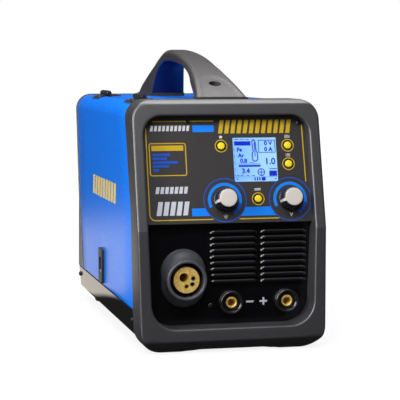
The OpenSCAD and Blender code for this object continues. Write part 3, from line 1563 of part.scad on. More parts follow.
module spool_spindle() {
  c = spool_at;
  color("silver") machine() {
    rod_x(partition_x - 5, partition_x, c, 46);
    rod_x(spindle_out_x + 1.5, partition_x - 4.9, c, spindle_d);
    rod_x(partition_x - 0.1, partition_x + 8, c, 11.9);
  }
}

module spool_hub() {
  c = spool_at;
  color("black") machine() difference() {
    union() {
      rod_x(hub_out_x, hub_in_x, c, hub_d);
      rod_x(hub_in_x - 2.2, hub_in_x + 2, c, spool_bore + 10);
      // driving pin that locates the spool
      rod_x(spool_in_x - 8, hub_in_x, spool_at + [42, 0], 6);
      along_x(hub_in_x - 2.2, hub_in_x + 2) translate(spool_at - [0, 6]) square([46, 12]);
    }
    rod_x(hub_out_x - 1, hub_in_x + 3, c, spindle_d + 2 * running);
    // hollow outer end
    difference() {
      rod_x(hub_out_x - 1, hub_out_x + 14, c, hub_d - 8);
      rod_x(hub_out_x - 2, hub_out_x + 15, c, spindle_d + 8);
    }
  }
}

module wire_spool() {
  c = spool_at;
  windows = 6;
  color("black") machine() difference() {
    union() {
      rod_x(spool_out_x, spool_out_x + flange_t, c, spool_d);
      rod_x(spool_in_x - flange_t, spool_in_x, c, spool_d);
      rod_x(spool_out_x, spool_in_x, c, barrel_d);
    }
    rod_x(spool_out_x - 1, spool_in_x + 1, c, spool_bore);
    rod_x(spool_in_x - 12, spool_in_x + 1, spool_at + [42, 0], 8);
    // lightening pockets in the outer face
    for (i = [0:windows - 1]) translate([0, spool_at[0], spool_z]) rotate([i * 360 / windows + 30, 0, 0])
      rod_x(spool_out_x - 1, spool_out_x + spool_w * 0.55, [39, 0], 20);
  }
}

module wire_coil() {
  c = spool_at;
  color("peru") machine() difference() {
    rod_x(spool_out_x + flange_t + 0.1, spool_in_x - flange_t - 0.1, c, coil_d);
    rod_x(spool_out_x, spool_in_x, c, barrel_d + 0.1);
  }
}

module spool_nut() {
  c = spool_at;
  color("black") machine() difference() {
    union() {
      rod_x(hub_out_x - 5.5, hub_out_x - seat, c, 34);
      along_x(hub_out_x - 8, hub_out_x - 5) translate(spool_at)
        rounded_box_2d(30, 10, 4.5);
    }
    rod_x(hub_out_x - 7.4, hub_out_x + 1, c, spindle_d + 2 * running);
  }
}

// ------------------------ the nodes

front_bezel();
rear_bezel();
base_tray();
rubber_feet();
right_cover();
partition_wall();
control_panel();
lower_panel();
display_window();
control_board();
torch_shroud();
torch_body();
torch_contacts();
socket_bodies();
socket_inserts();
case_screws();
handle_shell();
handle_liner();
handle_gasket();
hinge_leaves();
hinge_pins();
rear_panel();
fan_frame();
fan_grille();
gas_inlet();
cable_gland();
switch_housing();
power_board();
heat_sink();
transformer();
output_choke();
gas_valve();
gas_hose();
feed_plate();
feed_motor();
wire_guides();
spool_spindle();
side_door();
door_leaves();
latch_housing();
latch_slide();
left_knob();
left_knob_cap();
right_knob();
right_knob_cap();
home_button();
setup_button();
program_button();
material_button();
fan_rotor();
spool_hub();
wire_spool();
wire_coil();
spool_nut();
drive_roll();
pressure_arm();
pressure_roll();
tension_rod();
tension_knob();
power_rocker();
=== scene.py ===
"""A compact MIG welding machine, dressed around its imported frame.

Lengths in this file are millimetres of the machine: x to the right, y back from the bezel's
front crease, z up from the floor. at() turns them into metres of the frame.
"""

import json
import math

import bmesh
import bpy
from mathutils import Matrix, Vector

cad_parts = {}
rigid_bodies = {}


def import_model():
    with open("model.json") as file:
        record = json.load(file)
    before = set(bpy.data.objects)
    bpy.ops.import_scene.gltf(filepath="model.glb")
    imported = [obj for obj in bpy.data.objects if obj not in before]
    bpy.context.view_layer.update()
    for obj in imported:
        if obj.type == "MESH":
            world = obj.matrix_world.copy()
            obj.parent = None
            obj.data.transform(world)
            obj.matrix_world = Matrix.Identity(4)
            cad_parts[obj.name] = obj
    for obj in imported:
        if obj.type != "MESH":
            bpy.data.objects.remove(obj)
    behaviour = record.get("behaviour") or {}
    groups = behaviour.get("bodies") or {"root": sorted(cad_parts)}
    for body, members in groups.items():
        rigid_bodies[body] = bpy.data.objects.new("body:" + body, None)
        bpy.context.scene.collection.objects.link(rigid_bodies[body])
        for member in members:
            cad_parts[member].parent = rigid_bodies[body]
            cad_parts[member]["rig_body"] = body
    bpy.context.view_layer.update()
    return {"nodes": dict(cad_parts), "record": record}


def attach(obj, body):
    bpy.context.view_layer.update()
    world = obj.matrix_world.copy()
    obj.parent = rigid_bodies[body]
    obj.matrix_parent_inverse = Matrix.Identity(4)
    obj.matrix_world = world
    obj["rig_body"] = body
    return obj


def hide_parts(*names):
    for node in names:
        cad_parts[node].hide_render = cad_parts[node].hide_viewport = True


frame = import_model()
nodes = frame["nodes"]
slot_of = {s["node"]: s["material_slot"] for s in frame["record"]["subparts"]}

MM = 0.001
MID_Y = 244.076  # middle of the whole depth
BODY_H = 297.5  # top of the front bezel
BODY_HALF = 115.0
KINK = 145.0  # height where the bezel's front starts to lean back
LEAN = math.radians(14.1)
BROW_H, BROW_BACK = 5.2, 7.7  # the bezel's top edge rolls back over this height
SOLE_H, SOLE_BACK = 15.0, 10.0  # and its bottom edge over this one
TOE = 7.2  # how far the bezel's foot stands before the kink
RECESS = 14.0  # depth of the control panel behind the bezel's front
LOWER_Y = 26.0  # face of the lower panel
LIP_Z = 151.58  # lower edge of the control panel
PLATE_TOP = LIP_Z - 2.6
TOP_Z = 295.0  # top of the cover and the door
SIDE_X = 111.5  # outer face of the door
SHEET = 1.5
DOOR_LOW = 46.5
DOOR_GAP = 1.8


# ------------------------------------------------------------------ places
def at(x, y, z):
    return Vector((x, y - MID_Y, z)) * MM


def lerp(a, b, t):
    return a + (b - a) * t


def smooth_step(a, b, v):
    t = min(1.0, max(0.0, (v - a) / (b - a)))
    return t * t * (3 - 2 * t)


def front_y(z):
    """y of the bezel's front at a height."""
    brow_z = BODY_H - BROW_H
    brow_y = (brow_z - KINK) * math.tan(LEAN)
    if z > brow_z:
        return brow_y + (z - brow_z) / BROW_H * BROW_BACK
    if z > KINK:
        return (z - KINK) * math.tan(LEAN)
    if z > SOLE_H:
        return -TOE * (KINK - z) / (KINK - SOLE_H)
    return -TOE + (SOLE_H - z) / SOLE_H * (SOLE_BACK + TOE)


def back_y(z):
    """y of the bezel's rear edge at a height."""
    return 41 + max(0.0, z - 158) * math.tan(math.radians(18.3))


def rear_line(z):
    """y of the door's rear edge line at a height."""
    lean = 16.2 if z < KINK else 9.5
    return 465 + (z - KINK) * math.tan(math.radians(lean))


def plane(origin, across, up):
    """Matrix whose x runs across, y up and z out, with millimetres inside."""
    x, y = Vector(across).normalized(), Vector(up).normalized()
    z = x.cross(y)
    m = Matrix((x, y, z)).transposed().to_4x4()
    return Matrix.Translation(origin) @ m @ Matrix.Scale(MM, 4)


PANEL = plane(at(0, RECESS * math.cos(LEAN), KINK - RECESS * math.sin(LEAN)),
              (1, 0, 0), (0, math.sin(LEAN), math.cos(LEAN)))
LOWER = plane(at(0, LOWER_Y, 0), (1, 0, 0), (0, 0, 1))
DOOR = plane(at(-SIDE_X, 0, 0), (0, -1, 0), (0, 0, 1))
WORLD = Matrix.Translation((0, -MID_Y * MM, 0)) @ Matrix.Scale(MM, 4)


# ------------------------------------------------------------------ outlines
def arc(cx, cy, r, a0, a1, n):
    """n + 1 points from angle a0 to a1."""
    angles = [lerp(a0, a1, i / n) for i in range(n + 1)]
    return [(cx + r * math.cos(a), cy + r * math.sin(a)) for a in angles]


def circle(cx, cy, r, n=48):
    return arc(cx, cy, r, 0, 2 * math.pi, n)[:-1]


def filleted(points, radii, steps, cuts):
    """A polygon with round corners: steps for each corner's arc, cuts for each side."""
    corners = []
    for i, (p, radius) in enumerate(zip(points, radii)):
        p = Vector(p)
        a = (Vector(points[i - 1]) - p).normalized()
        b = (Vector(points[(i + 1) % len(points)]) - p).normalized()
        half = a.angle(b) / 2
        run = radius / math.tan(half)
        centre = p + (a + b).normalized() * radius / math.sin(half)
        s, e = p + a * run - centre, p + b * run - centre
        a0 = math.atan2(s.y, s.x)
        turn = (math.atan2(e.y, e.x) - a0 + math.pi) % (2 * math.pi) - math.pi
        corners.append(arc(centre.x, centre.y, radius, a0, a0 + turn, steps[i]))
    out = []
    for i, corner in enumerate(corners):
        (xa, ya), (xb, yb) = corner[-1], corners[(i + 1) % len(corners)][0]
        out += corner
        shares = [k / cuts[i] for k in range(1, cuts[i])]
        out += [(lerp(xa, xb, t), lerp(ya, yb, t)) for t in shares]
    return out


def rounded(points, radii, steps=10, edge=1):
    """A polygon with round corners; small ones get 3 steps, each side is cut in edge pieces."""
    counts = [steps if r > 5 else 3 for r in radii]
    return filleted(points, radii, counts, [edge] * len(points))


def rounded_box(w, h, r, cx=0.0, cy=0.0, steps=6):
    w, h = w / 2, h / 2
    points = [(cx - w, cy - h), (cx + w, cy - h), (cx + w, cy + h), (cx - w, cy + h)]
    return rounded(points, [r] * 4, steps)


def bezier(p, t):
    weights = ((1 - t) ** 3, 3 * (1 - t) ** 2 * t, 3 * (1 - t) * t * t, t ** 3)
    return sum((Vector(q) * k for q, k in zip(p, weights)), Vector((0, 0)))


# ------------------------------------------------------------------ materials
MATS = {}


def principled(name):
    """A new material, kept in MATS, with its tree and shader."""
    m = MATS[name] = bpy.data.materials.new(name)
    m.use_nodes = True
    return m.node_tree, m.node_tree.nodes["Principled BSDF"]


def fill(node, **inputs):
    """Sets the node's own sockets, named with _ for a space."""
    for key, value in inputs.items():
        node.inputs[key.replace("_", " ")].default_value = value


def add(tree, kind, **inputs):
    node = tree.nodes.new("ShaderNode" + kind)
    fill(node, **inputs)
    return node


def mixed(tree, a, b, factor):
    """A blend from a to the colour b; a is a colour or a socket."""
    mix = add(tree, "Mix")
    mix.data_type = "RGBA"
    if isinstance(a, tuple):
        mix.inputs["A"].default_value = a
    else:
        tree.links.new(a, mix.inputs["A"])
    mix.inputs["B"].default_value = b
    tree.links.new(factor, mix.inputs["Factor"])
    return mix.outputs["Result"]


def linked(tree, operation, a, b):
    """The result of a maths node on sockets or numbers."""
    node = add(tree, "Math")
    node.operation = operation
    for socket, value in zip(node.inputs, (a, b)):
        if isinstance(value, (int, float)):
            socket.default_value = value
        else:
            tree.links.new(value, socket)
    return node.outputs[0]


def ramp(tree, value, span, ends):
    """Eases from the first end to the second while the value crosses the span."""
    node = add(tree, "MapRange", From_Min=span[0], From_Max=span[1], To_Min=ends[0],
               To_Max=ends[1])
    node.interpolation_type = "SMOOTHSTEP"
    tree.links.new(value, node.inputs["Value"])
    return node.outputs["Result"]


def embossed(tree, bsdf, height, strength, distance):
    bump = add(tree, "Bump", Strength=strength, Distance=distance)
    tree.links.new(height, bump.inputs["Height"])
    tree.links.new(bump.outputs["Normal"], bsdf.inputs["Normal"])


def noise(tree, vector, scale, detail, **inputs):
    node = add(tree, "TexNoise", Scale=scale, Detail=detail, **inputs)
    tree.links.new(vector, node.inputs["Vector"])
    return node.outputs["Fac"]


def coloured(c, k):
    return (min(1, c[0] * k), min(1, c[1] * k), min(1, c[2] * k), 1)


def surface(name, colour, rough=(0.4, 0.5), metal=0.0, cloud=(25, 0.12), grain=(900, 0.2),
            stretch=(1, 1, 1), coat=0.0, coat_rough=0.1, specular=0.5, wear=0.0, tint=None):
    """A finish whose tone, roughness and relief all vary with noise in object space."""
    tree, bsdf = principled(name)
    link = tree.links.new
    place = add(tree, "TexCoord")
    mapping = add(tree, "Mapping", Scale=stretch)
    link(place.outputs["Object"], mapping.inputs["Vector"])
    tone = noise(tree, mapping.outputs["Vector"], cloud[0], 4.0, Roughness=0.55)
    fine = noise(tree, mapping.outputs["Vector"], grain[0], 3.0, Roughness=0.6)
    base = mixed(tree, coloured(colour, 1 - cloud[1]), coloured(tint or colour, 1 + cloud[1]), tone)
    if wear:
        edges = add(tree, "NewGeometry")
        rubbed = add(tree, "MapRange", From_Min=0.53, From_Max=0.62, To_Max=wear)
        link(edges.outputs["Pointiness"], rubbed.inputs["Value"])
        bare = coloured([c + 0.12 for c in colour], 1.2)
        base = mixed(tree, base, bare, rubbed.outputs["Result"])
    link(base, bsdf.inputs["Base Color"])
    spread = add(tree, "MapRange", From_Min=0.3, From_Max=0.7, To_Min=rough[0], To_Max=rough[1])
    link(fine, spread.inputs["Value"])
    link(spread.outputs["Result"], bsdf.inputs["Roughness"])
    embossed(tree, bsdf, fine, grain[1], 0.0004)
    fill(bsdf, Metallic=metal, Specular_IOR_Level=specular)
    if coat:
        fill(bsdf, Coat_Weight=coat, Coat_Roughness=coat_rough)


def display_material():
    """A backlit liquid crystal: pale blue, greener towards the right."""
    tree, bsdf = principled("display")
    link = tree.links.new
    place = add(tree, "TexCoord").outputs["Object"]
    split = add(tree, "SeparateXYZ")
    link(place, split.inputs["Vector"])
    across = add(tree, "MapRange", From_Min=0.008, From_Max=0.064)
    link(split.outputs["X"], across.inputs["Value"])
    cloud = noise(tree, place, 45.0, 2.0)
    share = linked(tree, "MULTIPLY", across.outputs["Result"], cloud)
    glow = mixed(tree, (0.18, 0.42, 0.93, 1), (0.44, 0.74, 0.60, 1), share)
    embossed(tree, bsdf, noise(tree, place, 2500.0, 1.0), 0.05, 0.0002)
    link(glow, bsdf.inputs["Base Color"])
    link(glow, bsdf.inputs["Emission Color"])
    fill(bsdf, Emission_Strength=0.25, Roughness=0.3)


def wound_material(name, colour):
    """Fine wire laid turn beside turn across x."""
    tree, bsdf = principled(name)
    place = add(tree, "TexCoord")
    turns = add(tree, "TexWave", Scale=160.0, Distortion=0.6, Detail=1.0)
    turns.bands_direction = "X"
    tree.links.new(place.outputs["Object"], turns.inputs["Vector"])
    strands = turns.outputs["Fac"]
    laid = mixed(tree, coloured(colour, 0.55), coloured(colour, 1.1), strands)
    tree.links.new(laid, bsdf.inputs["Base Color"])
    embossed(tree, bsdf, strands, 0.6, 0.0006)
    fill(bsdf, Metallic=1.0, Roughness=0.35)


# the torch collar's finish: the bezel's plastic made lighter, painted light as if its flare caught
# more light
surface("bezel_lit_copy", (0.066, 0.068, 0.080), (0.26, 0.36), cloud=(30, 0.15), grain=(1500, 0.2))
surface("bezel", (0.034, 0.033, 0.038), (0.34, 0.46), cloud=(14, 0.1), grain=(1500, 0.3),
        specular=0.75)
surface("gloss_black", (0.003, 0.003, 0.004), (0.13, 0.2), cloud=(20, 0.3), grain=(300, 0.03))
surface("rubber", (0.012, 0.012, 0.013), (0.7, 0.85), grain=(1200, 0.4))
surface("blue_paint", (0.003, 0.205, 1.0), (0.24, 0.32), cloud=(9, 0.05), grain=(700, 0.08),
        specular=0.28, tint=(0.004, 0.22, 1.0))
surface("zinc_sheet", (0.5, 0.51, 0.53), (0.3, 0.5), 1.0, cloud=(60, 0.2))
surface("panel_film", (0.028, 0.025, 0.026), (0.42, 0.55), cloud=(18, 0.1), grain=(1800, 0.18),
        specular=0.35)
display_material()
surface("circuit_board", (0.02, 0.13, 0.05), (0.3, 0.45), cloud=(260, 0.4))
surface("brass", (1.0, 0.36, 0.025), (0.14, 0.34), 0.3, cloud=(190, 0.4), grain=(380, 0.7),
        tint=(1.0, 0.62, 0.2), specular=0.35)
surface("dark_plastic", (0.016, 0.016, 0.018), (0.4, 0.52))
surface("socket_plastic", (0.006, 0.006, 0.007), (0.16, 0.26), grain=(900, 0.06))
surface("black_screw", (0.012, 0.012, 0.013), (0.3, 0.42), cloud=(90, 0.3))
surface("handle_grey", (0.034, 0.030, 0.030), (0.34, 0.46), cloud=(16, 0.08), grain=(1500, 0.35))
surface("blue_plastic", (0.0006, 0.0025, 0.05), (0.3, 0.42), cloud=(20, 0.15))
surface("hinge_steel", (0.012, 0.011, 0.014), (0.22, 0.34), cloud=(60, 0.3), wear=0.3)
surface("steel", (0.6, 0.6, 0.61), (0.25, 0.4), 1.0, cloud=(80, 0.15))
surface("aluminium", (0.72, 0.73, 0.75), (0.3, 0.45), 1.0, stretch=(1, 12, 1))
surface("core_steel", (0.16, 0.12, 0.09), (0.4, 0.6), stretch=(1, 1, 30), cloud=(30, 0.3))
wound_material("copper_winding", (0.5, 0.2, 0.07))
surface("cast_grey", (0.36, 0.37, 0.39), (0.4, 0.6), 0.8, grain=(600, 0.5))
surface("motor_grey", (0.2, 0.21, 0.22), (0.35, 0.5))
surface("latch_grey", (0.3, 0.3, 0.31), (0.35, 0.5), wear=0.3)
surface("knob_black", (0.006, 0.006, 0.007), (0.28, 0.4), grain=(1200, 0.12))
surface("knob_cap", (0.60, 0.56, 0.51), (0.35, 0.5), cloud=(30, 0.05))
surface("yellow_key", (0.92, 0.70, 0.005), (0.25, 0.4), cloud=(60, 0.06))
surface("spool_black", (0.02, 0.02, 0.023), (0.3, 0.42))
wound_material("copper_wire", (0.78, 0.46, 0.3))
surface("rocker_red", (0.42, 0.015, 0.012), (0.25, 0.35))
surface("print_gold", (0.55, 0.36, 0.012), (0.35, 0.5), cloud=(70, 0.12), specular=0.2)
# the door's print: the gold print in a brighter copy, painted light that makes up for the door's
# side getting less light
surface("print_gold_brightened", (0.96, 0.68, 0.06), (0.35, 0.5), cloud=(70, 0.1), specular=0.2)
surface("print_blue", (0.004, 0.21, 0.88), (0.35, 0.45), cloud=(40, 0.1), specular=0.2)
surface("print_deep_blue", (0.004, 0.085, 0.56), (0.35, 0.45), specular=0.2)
surface("print_white", (0.62, 0.62, 0.66), (0.4, 0.5), cloud=(60, 0.06))
surface("print_silver", (0.55, 0.57, 0.65), (0.35, 0.45), cloud=(60, 0.08))
surface("print_lcd", (0.008, 0.02, 0.60), (0.35, 0.45), cloud=(80, 0.2), specular=0.2)
# near black: the black print of the rings round the buttons, and painted shade inside the handle's
# screw recesses
surface("black_print_and_hole_shade", (0.003, 0.003, 0.003), (0.6, 0.8))
surface("tray_black", (0.004, 0.004, 0.006), (0.07, 0.12), cloud=(20, 0.3), grain=(300, 0.02),
        coat=0.6, coat_rough=0.05)


# ------------------------------------------------------------------ building
def placed(name, data):
    """A new object in the scene."""
    obj = bpy.data.objects.new(name, data)
    bpy.context.scene.collection.objects.link(obj)
    return obj


def evaluated(obj):
    """A mesh of the object as its curve or modifiers make it."""
    bpy.context.view_layer.update()
    seen = obj.evaluated_get(bpy.context.evaluated_depsgraph_get())
    return bpy.data.meshes.new_from_object(seen)


def turned_out(mesh, weld=0.0):
    """Welds close vertices and turns the faces outwards."""
    bm = bmesh.new()
    bm.from_mesh(mesh)
    if weld:
        bmesh.ops.remove_doubles(bm, verts=bm.verts, dist=weld)
    bmesh.ops.recalc_face_normals(bm, faces=bm.faces)
    bm.to_mesh(mesh)
    bm.free()


def shaded(mesh, angle):
    """Smooth, but for edges sharper than the angle."""
    mesh.polygons.foreach_set("use_smooth", [True] * len(mesh.polygons))
    mesh.set_sharp_from_angle(angle=math.radians(angle))


def quarter(n, first=0):
    """Angles of a quarter turn in n steps."""
    return [math.radians(90 * k / n) for k in range(first, n + 1)]


class Solid:
    """Collects vertices and faces in the millimetres of one plane."""

    def __init__(self):
        self.verts = []
        self.faces = []

    def take(self, verts, faces):
        base = len(self.verts)
        self.verts += [tuple(v) for v in verts]
        self.faces += [[base + i for i in f] for f in faces]

    def loft(self, rings, first=False, last=False, loop=False):
        """Joins closed rings of equal length; first and last close the ends."""
        n = len(rings[0])
        verts = [v for ring in rings for v in ring]
        faces = []
        count = len(rings)
        for r in range(count if loop else count - 1):
            a, b = r * n, (r + 1) % count * n
            for i in range(n):
                j = (i + 1) % n
                faces.append([a + i, a + j, b + j, b + i])
        if first:
            faces.append(list(range(n))[::-1])
        if last:
            faces.append([(count - 1) * n + i for i in range(n)])
        self.take(verts, faces)

    def prism(self, outline, z0, z1):
        self.loft([[(x, y, z) for x, y in outline] for z in (z0, z1)], True, True)

    def plug(self, outline, y0, y1):
        """A prism along y of an outline in x and z."""
        self.loft([[(x, y, z) for x, z in outline] for y in (y0, y1)], True, True)

    def box(self, low, high):
        (x0, y0, z0), (x1, y1, z1) = low, high
        self.plug([(x0, z0), (x1, z0), (x1, z1), (x0, z1)], y0, y1)

    def band(self, outer, inner, z0, z1):
        """A ring of square section between two outlines."""
        rings = [[(x, y, z) for x, y in o]
                 for o, z in ((outer, z0), (outer, z1), (inner, z1), (inner, z0))]
        self.loft(rings, loop=True)

    def lathe(self, profile, cx=0.0, cy=0.0, n=64):
        """Turns a profile of (radius, height); a radius of 0 closes the end."""
        first, last = profile[0][0] == 0, profile[-1][0] == 0
        body = [p for p in profile if p[0] > 0]
        rings = [[(x, y, z) for x, y in circle(cx, cy, r, n)] for r, z in body]
        base = len(self.verts)
        self.loft(rings)
        for closed, ring, z, flip in ((first, 0, profile[0][1], True),
                                      (last, len(rings) - 1, profile[-1][1], False)):
            if not closed:
                continue
            self.verts.append((cx, cy, z))
            tip = len(self.verts) - 1
            for i in range(n):
                a, b = base + ring * n + i, base + ring * n + (i + 1) % n
                self.faces.append([b, a, tip] if flip else [a, b, tip])

    def stroke(self, points, width, z0, z1, closed=False):
        """A line of even width along points, with mitred corners."""
        n = len(points)
        sides = []
        for i, p in enumerate(points):
            p = Vector(p)
            a = Vector(points[i - 1]) if i or closed else None
            b = Vector(points[(i + 1) % n]) if i < n - 1 or closed else None
            da = (p - a).normalized() if a is not None else (b - p).normalized()
            db = (b - p).normalized() if b is not None else da
            m = Vector((-da.y - db.y, da.x + db.x)).normalized()
            k = width / 2 / max(0.3, m.dot(Vector((-da.y, da.x))))
            sides.append((p + m * k, p - m * k))
        left, right = [s[0] for s in sides], [s[1] for s in sides]
        if closed:
            self.band([tuple(v) for v in right], [tuple(v) for v in left], z0, z1)
        else:
            self.prism([tuple(v) for v in right + left[::-1]], z0, z1)

    def grid(self, rows):
        """A sheet of points given row by row."""
        n = len(rows[0])
        faces = []
        for r in range(len(rows) - 1):
            for i in range(n - 1):
                a = r * n + i
                faces.append([a, a + 1, a + n + 1, a + n])
        self.take([p for row in rows for p in row], faces)

    def text(self, words, size, x, y, z0, z1, bold):
        """Raised generic figures, centred on x and y."""
        curve = bpy.data.curves.new("glyphs", "FONT")
        curve.body, curve.size, curve.offset = words, size, bold
        curve.align_x = curve.align_y = "CENTER"
        curve.resolution_u = 3
        curve.extrude = (z1 - z0) / 2
        holder = placed("glyphs", curve)
        mesh = evaluated(holder)
        mid = (z0 + z1) / 2
        self.take([(v.co.x + x, v.co.y + y, v.co.z + mid) for v in mesh.vertices],
                  [list(p.vertices) for p in mesh.polygons])
        bpy.data.objects.remove(holder)
        bpy.data.curves.remove(curve)
        bpy.data.meshes.remove(mesh)

    def piece(self, name, slot, body="case", where=WORLD, angle=35, replaces=(), material=None,
              weld=1e-7):
        mesh = bpy.data.meshes.new(name)
        mesh.from_pydata(self.verts, [], self.faces)
        mesh.transform(where)
        return finished(name, mesh, slot, body, angle, replaces, material, weld)


def finished(name, mesh, slot, body, angle, replaces, material=None, weld=1e-7):
    """A piece of the visual model, on its body, in its slot's material or the one named."""
    turned_out(mesh, weld)
    shaded(mesh, angle)
    mesh.materials.clear()
    mesh.materials.append(MATS[material or slot])
    obj = placed(name, mesh)
    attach(obj, body)
    if replaces:
        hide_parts(*replaces)
    return obj


def modifier(obj, kind, **settings):
    m = obj.modifiers.new(kind.lower(), kind)
    for key, value in settings.items():
        setattr(m, key, value)
    return m


def bevelled(obj, width, angle=50):
    modifier(obj, "BEVEL", width=width * MM, segments=2, limit_method="ANGLE",
             angle_limit=math.radians(angle))


def softened(node, width, angle=38):
    """A frame node with its flat faces merged and its sharp edges rounded."""
    source = nodes[node]
    bm = bmesh.new()
    bm.from_mesh(source.data)
    bmesh.ops.remove_doubles(bm, verts=bm.verts, dist=2e-6)
    bmesh.ops.dissolve_limit(bm, angle_limit=math.radians(0.6), verts=bm.verts, edges=bm.edges)
    bm.verts.index_update()
    faces = [[v.index for v in f.verts] for f in bm.faces]
    mesh = bpy.data.meshes.new(node + "_soft")
    mesh.from_pydata([v.co[:] for v in bm.verts], [], faces)
    bm.free()
    obj = finished(node + "_soft", mesh, slot_of[node], source["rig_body"], angle, (node,))
    bevelled(obj, width, angle)
    return obj


def cut(obj, cutters, inside=None):
    """Subtracts a Solid given in machine millimetres, for good; inside names the cut's finish."""
    mesh = bpy.data.meshes.new("cutter")
    mesh.from_pydata(cutters.verts, [], cutters.faces)
    mesh.transform(WORLD)
    if inside:
        mesh.materials.append(MATS[inside])
    turned_out(mesh)
    tool = placed("cutter", mesh)
    m = modifier(obj, "BOOLEAN", operation="DIFFERENCE", solver="EXACT", object=tool,
                 material_mode="TRANSFER" if inside else "INDEX")
    made = evaluated(obj)
    obj.modifiers.remove(m)
    obj.data = made
    bpy.data.objects.remove(tool)
    shaded(made, 32)


# ------------------------------------------------------------------ front bezel
def bezel_ring(inset):
    """The bezel's outline from the front, drawn in by an inset."""
    half, foot, top = BODY_HALF - inset, 112.3 - inset, BODY_H - inset
    points = [(-foot, inset), (foot, inset), (half, KINK), (half, top), (-half, top), (-half, KINK)]
    return rounded(points, [28 - inset, 28 - inset, 4, 24 - inset, 24 - inset, 4], 12, 14)


def opening_ring(grow):
    """The outline of the bezel's opening, let out by a growth."""
    low, half, base, top = 98 + grow, 101.5 + grow, 29.5 - grow, 278.4 + grow
    points = [(-low, base), (low, base), (half, KINK), (half, top), (-half, top), (-half, KINK)]
    return rounded(points, [30 + grow, 30 + grow, 4, 22 + grow, 22 + grow, 4], 12, 14)


def relief(x, z):
    """The bezel stands on its two ends: its lower edge is raised between them."""
    lift = 3 * min(1.0, max(0.0, (58 - abs(x)) / 18))
    return max(z, lift)


def wall_end(z):
    """y where the opening's wall ends behind the panels' faces."""
    if z < LIP_Z:
        return LOWER_Y + 0.6
    return front_y(z) + RECESS / math.cos(LEAN) + 0.6


def build_bezel():
    rings = []
    edge, lip, wall = 3.0, 2.2, 3.0

    def ring(outline, line, shift):
        rings.append([(x, line(z) + shift, relief(x, z)) for x, z in outline])

    # rear edge, from the inner wall round to the outside
    for inset, shift in ((wall, -7), (wall, -0.5), (wall - 0.5, 0), (0.6, 0), (0.15, -0.2),
                         (0, -0.7)):
        ring(bezel_ring(inset), back_y, shift)
    rings.append([(x, lerp(front_y(z) + edge, back_y(z), 0.5), relief(x, z))
                  for x, z in bezel_ring(0)])
    for a in quarter(6):
        ring(bezel_ring(edge * (1 - math.cos(a))), front_y, edge * (1 - math.sin(a)))
    # front face, then the lip and the wall of the opening
    start, end = bezel_ring(edge), opening_ring(lip)
    for t in (0.06, 0.11, 0.14, 0.2, 0.3, 0.4, 0.45, 0.5, 0.56, 0.7, 0.85, 1.0):
        ring([(lerp(a[0], b[0], t), lerp(a[1], b[1], t)) for a, b in zip(start, end)], front_y, 0)
    for a in quarter(5, 1):
        ring(opening_ring(lip * (1 - math.sin(a))), front_y, lip * (1 - math.cos(a)))
    end = opening_ring(0)
    rings.append([(x, lerp(front_y(z) + lip, wall_end(z), 0.5), z) for x, z in end])
    rings.append([(x, wall_end(z), z) for x, z in end])
    rings.append([(x, wall_end(z), z) for x, z in opening_ring(wall)])
    solid = Solid()
    solid.loft(rings)
    solid.piece("bezel_skin", "bezel", replaces=("front_bezel",), angle=50)


build_bezel()


# ------------------------------------------------------------------ lower front panel
LOUVRE_X, LOUVRE_Z, LOUVRE_W, LOUVRE_GAP, LOUVRE_ROWS = -23.5, 78.5, 59.5, 3.0, 9
PITCH, RISE, OUT, HOOD_END = 7.43, 5.35, 4.0, 6.5
TORCH = (-55.0, 86.0)
SOCKETS = ((1.5, 56.5), (70.0, 56.5))
PANEL_SCREW = (-21.5, 52.0)


def louvres():
    """The lower left corner of each louvre."""
    return [(LOUVRE_X + column * (LOUVRE_W + LOUVRE_GAP), LOUVRE_Z + row * PITCH)
            for column in range(2) for row in range(LOUVRE_ROWS)]


def build_lower_panel():
    plate, holes = Solid(), Solid()
    plate.plug(rounded([(-103, 25.5), (103, 25.5), (104.5, PLATE_TOP), (-104.5, PLATE_TOP)],
                       [30, 30, 0.5, 0.5], 12), LOWER_Y, LOWER_Y + 2)
    obj = plate.piece("lower_plate", "gloss_black", replaces=("lower_panel",))
    for x, z in louvres():
        holes.box((x + 2, LOWER_Y - 1, z + 0.2), (x + LOUVRE_W - 2, LOWER_Y + 3, z + 3))
    for (x, z), r in ((TORCH, 16.0), (SOCKETS[0], 10.6), (SOCKETS[1], 10.6), (PANEL_SCREW, 1.7)):
        holes.plug(circle(x, z, r), LOWER_Y - 1, LOWER_Y + 3)
    cut(obj, holes)

    hoods = Solid()
    spots = [0, 0.4, 1.1, 2.1, 3.4, 4.9, HOOD_END]
    xs = spots + [15, 28, 41] + [LOUVRE_W - s for s in spots[::-1]]
    for x0, z0 in louvres():
        rows = []
        for x in xs:
            d = max(0.0, HOOD_END - min(x, LOUVRE_W - x)) / HOOD_END
            e = math.sqrt(max(0.0004, 1 - d * d))
            rows.append([(x0 + x, LOWER_Y - OUT * e * math.cos(a) ** 0.8 + 0.05,
                          z0 + RISE * e * math.sin(a)) for a in quarter(8)])
        hoods.grid(rows)
    made = hoods.piece("louvre_hoods", "gloss_black", angle=60)
    modifier(made, "SOLIDIFY", thickness=0.7 * MM, offset=-1.0)
    bevelled(made, 0.18)


build_lower_panel()


# ------------------------------------------------------------------ torch socket and outputs
SHROUD_W, SHROUD_H = 54.0, 70.0


def shroud_ring(diameter, share, y, count=96):
    """A ring between the shroud's oval foot (share 0) and a circle (share 1)."""
    straight = (SHROUD_H - SHROUD_W) / 2
    ring = []
    for i in range(count):
        a = 2 * math.pi * i / count
        c, s = math.cos(a), math.sin(a)
        zc = math.copysign(straight, s)
        b = -s * zc
        reach = -b + math.sqrt(max(0.0, b * b - zc * zc + (SHROUD_W / 2) ** 2))
        if abs(reach * s) < straight:
            reach = SHROUD_W / 2 / max(abs(c), 1e-6)
        r = lerp(reach, diameter / 2, share)
        ring.append((TORCH[0] + r * c, y, TORCH[1] + r * s))
    return ring


